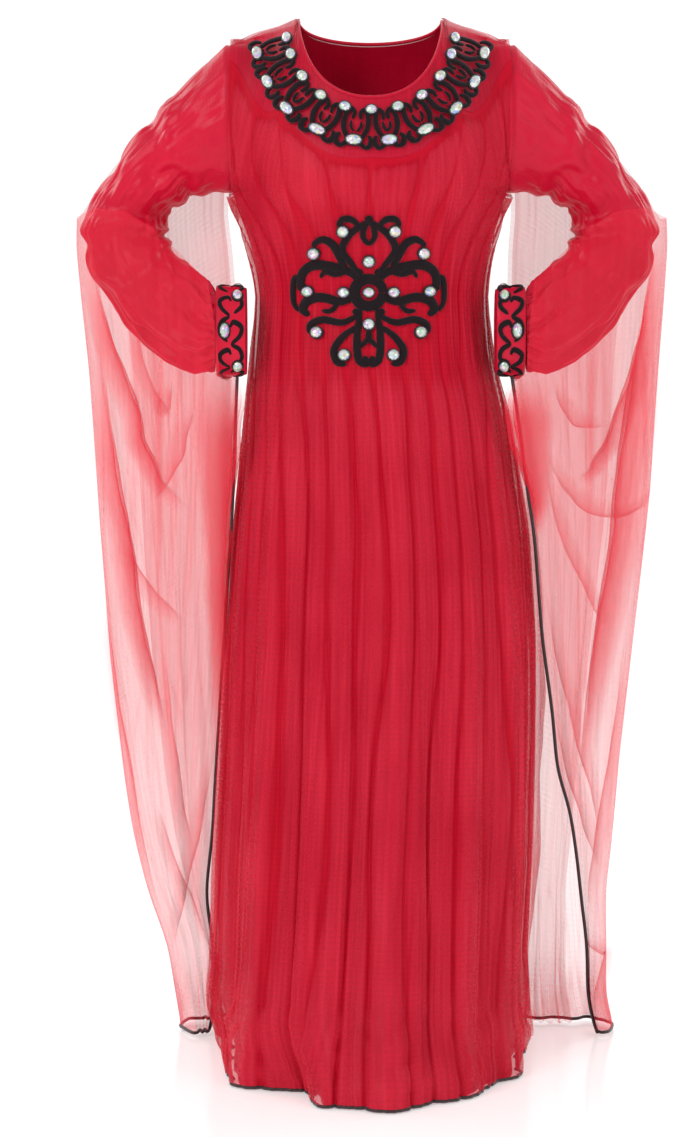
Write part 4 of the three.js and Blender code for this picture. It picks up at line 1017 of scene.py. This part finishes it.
def wing_place(side, n, z):
    """A point of the outer wing, for a column from the back's inner edge to the piped edge and a height."""
    share, turn = wing_parts(n)
    behind = turn < 0.5

    def arm(name, at):
        return np.where(behind, read(UPPER_ARM, "x", name, at), read(FOREARM, "x", name, at))

    high = wing_across(side, n, np.full_like(n, ARM_Z))
    top, mid = arm("top", high), arm("mid", high)
    x = wing_across(side, n, z)
    rise = np.clip((z - mid) / np.maximum(top - mid, 1), 0, 1)
    round_off = np.abs(np.cos(np.pi * turn))
    face = np.where(behind, 1, -1)
    arm_y = arm("y", x) + face * (arm("deep", x) + WING_CLEAR) * np.sqrt(1 - rise * rise) * round_off
    depth = {k: np.interp(z, WING_DEPTH["z"], v) for k, v in WING_DEPTH.items()}
    fold_y = (depth["back"] + depth["fold"]) / 2
    free = np.where(behind, depth["back"], lerp(depth["edge"], depth["fold"], share))
    hang_y = fold_y + (free - fold_y) * round_off
    wave = 6 * np.sin(n * 1.9 + side) + 5 * soft_noise(n * 0.8, z / 260, 51)
    wave = wave + 2 * soft_noise(n * 2.6, z / 120, 52)
    y = lerp(arm_y, hang_y, 1 - ramp(700, 900, z)) + wave * (1 - ramp(300, 1010, z))
    return np.stack([side * x, y, z], -1)


def wing_top(side, n):
    high = wing_across(side, n, np.full_like(n, ARM_Z))
    behind = wing_parts(n)[1] < 0.5
    return np.where(behind, read(UPPER_ARM, "x", "top", high), read(FOREARM, "x", "top", high))


def front_column(side, x, z):
    """The column of the wing's front that lies at a place across and a height."""
    edge, start, _ = wing_span(side, z, np.zeros_like(z, bool))
    share = np.clip((x - edge) / (start - edge), 0, 1)
    return BACK_RUN + FOLD_RUN + (1 - share) * FRONT_RUN


def bunched_folds(side):
    """Narrow closed loops of cloth in front of the wing, where it lies over itself."""
    parts, cover_and_shade, veil = [], [], []
    for number, (layers, *spots) in enumerate(FOLDS[side]):
        line = curve_through([(abs(x), z) for x, z, _ in spots], 14)
        wide = curve_through([(1.35 * w + 1, 0) for _, _, w in spots], 14)[:, 0] * sizes().wing_fullness
        along = unit(np.gradient(line, axis=0))
        cross = np.stack([-along[:, 1], along[:, 0]], -1)
        count = len(line)
        sway = 0.16 * wide * soft_noise(np.arange(count) * 0.13, np.full(count, number * 1.7), 81)
        for layer in range(layers):
            ragged = 1.2 * soft_noise(np.arange(count) * 0.2, np.full(count, layer + number), 82)
            size = wide * (1 - 0.16 * layer) + ragged
            across = FOLD_SECTION["place"][None] * size[:, None] + sway[:, None]
            flat = line[:, None] + cross[:, None] * across[..., None]
            x, z = flat[..., 0], np.maximum(flat[..., 1], WING_HEM + 2)
            points = wing_place(side, front_column(side, x, z), z)
            points[..., 1] -= FOLD_SECTION["lift"][None] + 3.4 * layer
            points[..., 0] = side * x
            parts.append((points.reshape(-1, 3), grid_faces(count, len(FOLD_SECTION["place"]), True)))
            ends = ramp(0, 0.3, np.linspace(0, 1, count)) * ramp(0, 0.3, np.linspace(1, 0, count))
            # Fold edges: more cover, and a little painted shade in the colour
            cover_and_shade.append((FOLD_SECTION["edge"][None] * ends[:, None]).ravel())
            veil.append((FOLD_SECTION["veil"][None] * ends[:, None] * (0.6 + 0.2 * layers)).ravel())
    return parts, np.concatenate(cover_and_shade), np.concatenate(veil)


def wing(side, label):
    """The sheer cloth that hangs over a sleeve to the floor, with its bunched folds and its piping."""
    columns, rows = 250, 190
    span = np.linspace(0, WING_SPAN, columns)
    step = np.concatenate([np.linspace(0, 0.12, 40)[:-1], np.linspace(0.12, 1, rows - 39)])
    n, step = np.meshgrid(span, step)
    z = lerp(wing_top(side, n) - 4, WING_HEM, step)
    points = wing_place(side, n, z)
    loose = 1 - ramp(880, 1130, z)
    lean = n + side * z / 260
    lines = soft_noise(lean * 1.7, z / 420, 54) * 0.5 + soft_noise(lean * 5.3 + z / 210, z / 330, 55) * 0.4
    thin = 1 - np.abs(soft_noise(lean * 2.3 + 4, z / 300, 56))
    turn = wing_parts(n)[1]
    round_edge = np.sin(np.pi * turn) ** 10 * 0.3
    pool = (1 - ramp(15, 120, z)) * (0.3 + 0.1 * side + 0.2 * soft_noise(n * 2, z / 30, 57))
    streaks = (np.maximum(lines - 0.1, 0) * 0.42 + 0.2 * thin ** 14) * loose
    # Cover of the wing: streaks, the fold's turning edge and the pooled hem; the material also darkens the
    # colour by it as painted shade
    cover_and_shade = np.clip(streaks + round_edge + pool, 0, 1)
    points[..., 1] += 2.2 * lines * loose
    loops, loop_cover_and_shade, loop_veil = bunched_folds(side)
    flat_points, faces = joined([(points.reshape(-1, 3), grid_faces(rows, columns)), *loops])
    spots = np.concatenate([cloth_spots(points).reshape(-1, 2), np.zeros((len(loop_cover_and_shade), 2))])
    start = rows * columns
    spots[start:] = flat_points[start:, [0, 2]] * MM
    values = {"fold_density": np.concatenate([cover_and_shade.ravel(), loop_cover_and_shade]),
              "veil": np.concatenate([np.ones(cover_and_shade.size), loop_veil])}
    piece = add_mesh(f"sheer_wing_{label}", flat_points, faces, "wing", values, spots)
    finish_piece(piece, [f"wing_outer_{label}"])
    edge = points[:, -1] + (-side * 2.4, 0, 0)
    hem = points[-1, ::-1] + (0, 0, -2.5)
    line = np.concatenate([edge[:-1:2], hem[3::2]])
    cord = add_tube(f"wing_piping_{label}_cord", smoothed(line, 2), sizes().piping_radius, "piping")
    finish_piece(cord, [f"wing_piping_{label}"])
    state_sheet(piece, "sheer_wing")


def smoothed(line, times):
    line = np.array(line, float)
    for _ in range(times):
        line[1:-1] = (line[:-2] + 2 * line[1:-1] + line[2:]) / 4
    return line


def second_layer(side, label):
    """The wing's cloth between its back and the sleeve."""
    columns, rows = 120, 120
    share, step = np.meshgrid(np.linspace(0, 1, columns), np.linspace(0, 1, rows) ** 1.2)

    def line_x(z):
        out = at_height(WING[side], "out", z) - 56
        return lerp(at_height(WING[side], "inner", z) + 6, out, share)

    high = line_x(np.full_like(share, ARM_Z))
    mid, full_top = read(UPPER_ARM, "x", "mid", high), read(UPPER_ARM, "x", "top", high)
    top = lerp(mid, full_top, 0.45)
    z = lerp(top, WING_HEM, step)
    lines = soft_noise(share * 14, z / 420, 61) * 0.5 + soft_noise(share * 31, z / 300, 64) * 0.4
    # Streaky cover, which also darkens the colour a little as painted shade
    cover_and_shade = np.clip(np.maximum(lines - 0.2, 0), 0, 1)
    x = line_x(z)
    rise = np.clip((z - mid) / np.maximum(full_top - mid, 1), 0, 1)
    elbow = read(UPPER_ARM, "x", "deep", x) * np.sqrt(1 - np.clip((x - 341) / 64, 0, 1) ** 2)
    arm_y = read(UPPER_ARM, "x", "y", x) + (elbow + SECOND_CLEAR) * np.sqrt(1 - rise * rise)
    hang = 1 - ramp(700, 900, z)
    wave = 7 * np.sin(share * 31 + side) + 4 * soft_noise(share * 9, z / 200, 62)
    wave = wave * (1 - ramp(250, 1000, z))
    y = lerp(arm_y, np.interp(z, WING_DEPTH["z"], WING_DEPTH["second"]), hang) + wave
    points = np.stack([side * x, y, z], -1)
    values = {"fold_density": cover_and_shade, "veil": np.ones_like(cover_and_shade)}
    piece = add_cloth(f"sheer_wing_inner_{label}", points, "wing", values)
    finish_piece(piece, [f"wing_inner_{label}"])
    state_sheet(piece, kind="sheer_wing_inner")


# Scrollwork


def front_point(x, z, height):
    """A point at a height above the front's outer layer, and the way out of the cloth there."""
    def depth(px, pz):
        return cloth_depth(FRONT, px, pz) - SEAM_GAP
    slope_x = (depth(x + 4, z) - depth(x - 4, z)) / 8
    slope_z = (depth(x, z + 4) - depth(x, z - 4)) / 8
    out = unit(np.stack([slope_x, -1 + 0 * x, slope_z], -1))
    rest = np.stack([x, depth(x, z), z], -1)
    share = np.clip(np.abs(x) / NECK_HALF * NECK_SHARE, 0, 1)
    lift = layer_gap(share, z) + np.interp(z, (900, 1020, 1130, 1250, 1300), (5, 3.2, 4.2, 3.4, 1.6))
    return rest + out * (lift + height)[..., None]


def neck_path():
    """The front neckline's length so far, and its places across and up."""
    turn = np.linspace(-COLLAR_TURN, COLLAR_TURN, 161)
    x, z = neck_edge(FRONT, turn)
    s = np.concatenate([[0], np.cumsum(np.hypot(np.diff(x), np.diff(z)))])
    return s, x, z


def on_collar(s, r, height):
    """Lays shapes drawn along the neckline and out from it."""
    path_s, path_x, path_z = neck_path()
    s, r = np.asarray(s, float), np.asarray(r, float)
    x, z = np.interp(s, path_s, path_x), np.interp(s, path_s, path_z)
    dx = np.interp(s + 12, path_s, path_x) - np.interp(s - 12, path_s, path_x)
    dz = np.interp(s + 12, path_s, path_z) - np.interp(s - 12, path_s, path_z)
    size = np.hypot(dx, dz)
    return front_point(x + dz / size * r, z - dx / size * r, height + 0 * x)


def on_waist(s, r, height):
    """Lays shapes drawn across and up from the waist ornament's middle."""
    s, r = np.asarray(s, float), np.asarray(r, float)
    return front_point(s + WAIST_X, r + WAIST_Z, height + 0 * s)


def curve_through(points, per_span):
    """A smooth line through flat points."""
    points = np.asarray(points, float)
    padded = np.concatenate([2 * points[:1] - points[1:2], points, 2 * points[-1:] - points[-2:-1]])
    t = np.linspace(0, 1, per_span, endpoint=False)[:, None]
    spans = []
    for a, b, c, d in zip(padded, padded[1:], padded[2:], padded[3:]):
        square, cube = 2 * a - 5 * b + 4 * c - d, 3 * b - a - 3 * c + d
        spans.append(0.5 * (2 * b + (c - a) * t + square * t ** 2 + cube * t ** 3))
    return np.concatenate([*spans, points[-1:]])


def ribbon(points, width, lay, level=0.0):
    """A raised velvet ribbon laid on the cloth, with round ends. Returns its points and faces."""
    line = curve_through(points, 7)
    count = len(line)
    along = unit(np.gradient(line, axis=0))
    side = np.stack([-along[:, 1], along[:, 0]], -1)
    t = np.linspace(0, 1, count)
    half = width / 2 * (0.62 + 0.5 * np.sin(np.pi * t) ** 0.8)
    end = np.minimum(np.arange(count), np.arange(count)[::-1])
    half = half * np.sqrt(np.clip(1 - (1 - np.minimum(end, 2) / 2.0) ** 2, 0.12, 1))
    tall = sizes().ribbon_height * np.clip(half / (width / 2), 0.35, 1.05)
    rows = []
    for place, rise in RIBBON_SECTION:
        flat = line + side * (half * place)[:, None]
        rows.append(lay(flat[:, 0], flat[:, 1], rise * tall + level))
    under = [lay(*(line + side * (half * place)[:, None]).T, -0.5 + 0 * half) for place in (1.0, -1.0)]
    mesh = np.stack([*rows, *under], 1)
    faces = grid_faces(count, mesh.shape[1], True)
    return mesh.reshape(-1, 3), faces + end_caps(count, mesh.shape[1])


def ring_round(s, r, radius, turn, lay, height):
    """A ring of points round a spot, laid on the cloth."""
    return lay(s + radius * np.cos(turn), r + radius * np.sin(turn), height)


def disc(s, r, radius, lay, height, level=0.0, sides=20):
    """A round pad with soft edges under a stone or at a curl's end."""
    turn = np.linspace(0, 2 * np.pi, sides, endpoint=False)
    rows = ((1.0, -0.5), (1.0, 0.3 * height), (0.88, 0.8 * height), (0.6, height), (0.02, height))
    mesh = np.array([ring_round(s, r, radius * size, turn, lay, rise + level) for size, rise in rows])
    return mesh.reshape(-1, 3), grid_faces(len(rows), sides, True) + end_caps(len(rows), sides)


def joined(parts):
    """Several (points, faces) as one."""
    points, faces, start = [], [], 0
    for places, polygons in parts:
        points.append(places)
        faces += [[int(k) + start for k in face] for face in polygons]
        start += len(places)
    return np.concatenate(points), faces


def mirrored(points):
    return [(-s, r) for s, r in points]


def velvet_piece(name, parts, nodes):
    points, faces = joined(parts)
    piece = add_mesh(name, points, faces, "velvet")
    return finish_piece(piece, nodes)


def collar_spots():
    length = neck_path()[0][-1]
    pitch = length / COLLAR_UNITS
    outer = [((n + 0.5) * pitch, 57.0) for n in range(COLLAR_UNITS)]
    inner = [(float(np.clip(n * pitch, 7, length - 7)), 16.0) for n in range(COLLAR_UNITS + 1)]
    return outer, inner, pitch


def collar_scrolls():
    outer, inner, pitch = collar_spots()
    parts = []
    for number, (middle, _) in enumerate(outer):
        tilt = 0.05 * math.sin(number * 2.1)
        for flip in (1, -1):
            for level, (width, shape) in enumerate(COLLAR_CURLS):
                bent = []
                for u, r in shape:
                    bent.append((middle + flip * (u + tilt * (r / 60)) * pitch * (1 - 0.1 * r / 66), r))
                parts.append(ribbon(bent, width, on_collar, 0.15 * level))
    for s, r in outer + inner:
        parts.append(disc(s, r, 7.6, on_collar, 2.0, 0.3))
    velvet_piece("collar_velvet_scrolls", parts, ["collar_scrollwork"])


def waist_scrolls():
    parts = []
    for level, (width, points) in enumerate(WAIST_RIBBONS):
        for shape in (points, mirrored(points)):
            parts.append(ribbon(shape, 1.45 * width, on_waist, 0.12 * (level % 4)))
    for radius in WAIST_RINGS:
        ring = [(radius * math.cos(a), radius * math.sin(a)) for a in np.linspace(0, 2 * np.pi, 17)]
        parts.append(ribbon(ring, 6.5, on_waist, 0.2))
    for s, r in waist_spots():
        if (s, r) != (0, 0):
            parts.append(disc(s, r, 8.8, on_waist, 2.0, 0.3))
    for s, r, radius in WAIST_DOTS:
        parts.append(disc(s, r, radius, on_waist, 2.2, 0.2))
    velvet_piece("waist_velvet_scrolls", parts, ["waist_scrollwork"])


def waist_spots():
    spots = []
    for s, r in WAIST_STONES:
        spots.append((s, r))
        if s:
            spots.append((-s, r))
    return spots


def on_cuff(side):
    """Lays shapes drawn in millimetres, round a cuff and along it."""
    def lay(s, r, height):
        share = np.asarray(r, float) / CUFF_LONG
        return cuff_point(side, share, np.asarray(s, float) / CUFF_RADIUS, height + 1.4)
    return lay


def cuff_spots():
    """Stones of a cuff: places round it and along it."""
    spots = []
    for n in range(CUFF_STONES):
        turn = (n + 0.25) * 2 * math.pi / CUFF_STONES
        spots.append((turn * CUFF_RADIUS, (0.3 if n % 2 else 0.72) * CUFF_LONG))
    return spots


def cuff_scrolls(side, label):
    lay = on_cuff(side)
    parts = []
    pitch = 2 * np.pi * CUFF_RADIUS / (2 * CUFF_WAVES)
    for n in range(2 * CUFF_WAVES):
        flip = 1 if n % 2 else -1
        for shape in CUFF_CURLS:
            curl = [(n * pitch + u * pitch, (0.5 + rise * flip) * CUFF_LONG) for u, rise in shape]
            parts.append(ribbon(curl, 5.2, lay))
    for s, r in cuff_spots():
        parts.append(disc(s, r, 8.4, lay, 2.0, 0.3))
    velvet_piece(f"cuff_velvet_scrolls_{label}", parts, [f"cuff_scrollwork_{label}"])


def stone(s, r, radius, lay, level):
    """A faceted dome and the thin dark setting round its foot."""
    sides = STONE_SIDES
    tall = sizes().stone_height
    rings = []
    for size, rise, shift in STONE_ROWS:
        turn = (np.arange(sides) + shift) / sides * 2 * np.pi
        rings.append(ring_round(s, r, radius * size, turn, lay, level + tall * rise))
    mesh = np.array(rings).reshape(-1, 3)
    faces = []
    for j in range(len(STONE_ROWS) - 1):
        lean = STONE_ROWS[j + 1][2] - STONE_ROWS[j][2]
        for i in range(sides):
            a, b = j * sides + i, j * sides + (i + 1) % sides
            c, d = b + sides, a + sides
            faces += [[a, b, d], [b, c, d]] if lean >= 0 else [[a, b, c], [a, c, d]]
    faces += end_caps(len(STONE_ROWS), sides)
    turn = np.arange(SETTING_SIDES) / SETTING_SIDES * 2 * np.pi
    rings = [ring_round(s, r, radius * size, turn, lay, level + rise) for size, rise in SETTING_ROWS]
    setting = np.array(rings).reshape(-1, 3)
    setting_faces = grid_faces(len(rings), SETTING_SIDES, True) + [list(range(SETTING_SIDES))[::-1]]
    return (mesh, faces), (setting, setting_faces)


def stones_piece(name, spots, radius, lay, nodes, level=2.2):
    domes, settings = zip(*(stone(s, r, radius, lay, level) for s, r in spots))
    points, faces = joined(domes)
    piece = add_mesh(name, points, faces, "crystal")
    piece.data.polygons.foreach_set("use_smooth", np.zeros(len(piece.data.polygons), bool))
    finish_piece(piece, nodes)
    points, faces = joined(settings)
    finish_piece(add_mesh(f"{name}_settings", points, faces, "setting"))


# Operators


class KAFTAN_OT_gown(bpy.types.Operator):
    """Build the satin gown's front and back"""
    bl_idname = "kaftan.gown"
    bl_label = "Satin gown"

    def execute(self, context):
        for face, label in FACES:
            gown_panel(face, label)
        return {"FINISHED"}


class KAFTAN_OT_overlay(bpy.types.Operator):
    """Build the gathered sheer layer and the yoke"""
    bl_idname = "kaftan.overlay"
    bl_label = "Sheer overlay and yoke"

    def execute(self, context):
        for face, label in FACES:
            overlay_panel(face, label)
        for side, label in SIDES:
            side_fall(side, label)
        return {"FINISHED"}


class KAFTAN_OT_edges(bpy.types.Operator):
    """Build the neck binding and the hem's black piping"""
    bl_idname = "kaftan.edges"
    bl_label = "Binding and hem piping"

    def execute(self, context):
        line = np.concatenate([neck_line(FRONT), neck_line(BACK)[::-1][1:-1]])
        binding = add_tube("neck_binding_cord", line, 2.6, "satin", closed=True)
        finish_piece(binding, ["neck_binding"])
        radius = sizes().piping_radius
        for face, label in FACES:
            line = hem_line(face, 420, radius + 0.4)
            cord = add_tube(f"hem_piping_{label}_cord", line, radius, "piping", 8)
            finish_piece(cord, [f"hem_piping_{label}"])
        return {"FINISHED"}


class KAFTAN_OT_sleeves(bpy.types.Operator):
    """Build the bishop sleeves and their cuffs"""
    bl_idname = "kaftan.sleeves"
    bl_label = "Sleeves and cuffs"

    def execute(self, context):
        for side, label in SIDES:
            cuff(side, label)
            sleeve(side, label)
        return {"FINISHED"}


class KAFTAN_OT_wings(bpy.types.Operator):
    """Build the sheer wings, their second layers and their piping"""
    bl_idname = "kaftan.wings"
    bl_label = "Sheer wings"

    def execute(self, context):
        for side, label in SIDES:
            wing(side, label)
            second_layer(side, label)
        return {"FINISHED"}


class KAFTAN_OT_scrollwork(bpy.types.Operator):
    """Lay the velvet scrollwork on the collar, the waist and the cuffs"""
    bl_idname = "kaftan.scrollwork"
    bl_label = "Velvet scrollwork"

    def execute(self, context):
        collar_scrolls()
        waist_scrolls()
        for side, label in SIDES:
            cuff_scrolls(side, label)
        return {"FINISHED"}


class KAFTAN_OT_stones(bpy.types.Operator):
    """Set the domed stones"""
    bl_idname = "kaftan.stones"
    bl_label = "Domed stones"

    def execute(self, context):
        outer, inner, _ = collar_spots()
        collar_nodes = [f"collar_stone_{n + 1}" for n in range(len(outer) + len(inner))]
        stones_piece("collar_domed_stones", outer + inner, COLLAR_STONE, on_collar, collar_nodes)
        waist_nodes = [f"waist_stone_{n + 1}" for n in range(len(waist_spots()))]
        stones_piece("waist_domed_stones", waist_spots(), WAIST_STONE, on_waist, waist_nodes)
        for side, label in SIDES:
            stones_piece(f"cuff_domed_stones_{label}", cuff_spots(), COLLAR_STONE, on_cuff(side), [])
        return {"FINISHED"}


class KAFTAN_OT_stage(bpy.types.Operator):
    """Set up the pale floor, the soft studio light and the camera"""
    bl_idname = "kaftan.stage"
    bl_label = "Studio stage"

    def execute(self, context):
        scene = context.scene
        floor_z = -SHOULDER_HEIGHT * MM - FLOOR_DROP
        bend = np.linspace(0, np.pi / 2, 16)[1:]
        flat = np.linspace(FLOOR_FRONT, FLOOR_BEND, 12)
        y = np.concatenate([flat, FLOOR_BEND + FLOOR_RADIUS * np.sin(bend), FLOOR_TOP[:1]])
        z = np.concatenate([0 * flat, FLOOR_RADIUS - FLOOR_RADIUS * np.cos(bend), FLOOR_TOP[1:]])
        x = np.linspace(-FLOOR_HALF_WIDTH, FLOOR_HALF_WIDTH, 9)
        points = np.array([[(px, py, pz + floor_z) for px in x] for py, pz in zip(y, z)]) / MM
        points[..., 2] += SHOULDER_HEIGHT
        floor = add_mesh("studio_floor", points, grid_faces(len(y), len(x)), "floor")
        world = scene.world or bpy.data.worlds.new("Studio")
        scene.world = world
        world.use_nodes = True
        background = world.node_tree.nodes["Background"]
        background.inputs["Color"].default_value = (1, 1, 1, 1)
        background.inputs["Strength"].default_value = 0.62
        for name, place, power, size in LAMPS:
            light = bpy.data.lights.new(name, "AREA")
            light.energy, light.size = power, size
            lamp = bpy.data.objects.new(name, light)
            lamp.location = place
            aim = Vector(LAMP_TARGET) - Vector(place)
            lamp.rotation_euler = aim.to_track_quat("-Z", "Y").to_euler()
            scene.collection.objects.link(lamp)
        camera = bpy.data.cameras.new("Studio camera")
        camera.lens, camera.sensor_width, camera.clip_end = CAMERA_LENS, 36.0, 60.0
        view = bpy.data.objects.new("Studio camera", camera)
        view.location = CAMERA_PLACE
        view.rotation_euler = (math.radians(90 - CAMERA_TILT), 0, 0)
        scene.collection.objects.link(view)
        scene.camera = view
        scene.view_settings.view_transform = "Standard"
        scene.cycles.transparent_max_bounces = 20
        scene.cycles.max_bounces, scene.cycles.diffuse_bounces, scene.cycles.glossy_bounces = 4, 2, 2
        return {"FINISHED"}


STEPS = ("edges", "scrollwork", "stones", "gown", "overlay", "sleeves", "wings", "stage")


class KAFTAN_PT_sidebar(bpy.types.Panel):
    """Sizes, colours and build steps of the kaftan"""
    bl_label = "Butterfly kaftan"
    bl_idname = "KAFTAN_PT_sidebar"
    bl_space_type = "VIEW_3D"
    bl_region_type = "UI"
    bl_category = "Kaftan"

    def draw(self, context):
        layout = self.layout
        for group in (context.scene.kaftan_sizes, context.scene.kaftan_colours):
            box = layout.box()
            for name in group.__annotations__:
                box.prop(group, name)
        for step in STEPS:
            layout.operator(f"kaftan.{step}")


CLASSES = (
    KaftanSizes, KaftanColours, KAFTAN_OT_gown, KAFTAN_OT_overlay, KAFTAN_OT_edges, KAFTAN_OT_sleeves,
    KAFTAN_OT_wings, KAFTAN_OT_scrollwork, KAFTAN_OT_stones, KAFTAN_OT_stage, KAFTAN_PT_sidebar,
)


def register():
    for part in CLASSES:
        bpy.utils.register_class(part)
    bpy.types.Scene.kaftan_sizes = PointerProperty(type=KaftanSizes)
    bpy.types.Scene.kaftan_colours = PointerProperty(type=KaftanColours)


def unregister():
    del bpy.types.Scene.kaftan_colours
    del bpy.types.Scene.kaftan_sizes
    for part in reversed(CLASSES):
        bpy.utils.unregister_class(part)


def main():
    register()
    for step in STEPS:
        getattr(bpy.ops.kaftan, step)()


if __name__ == "__main__":
    main()
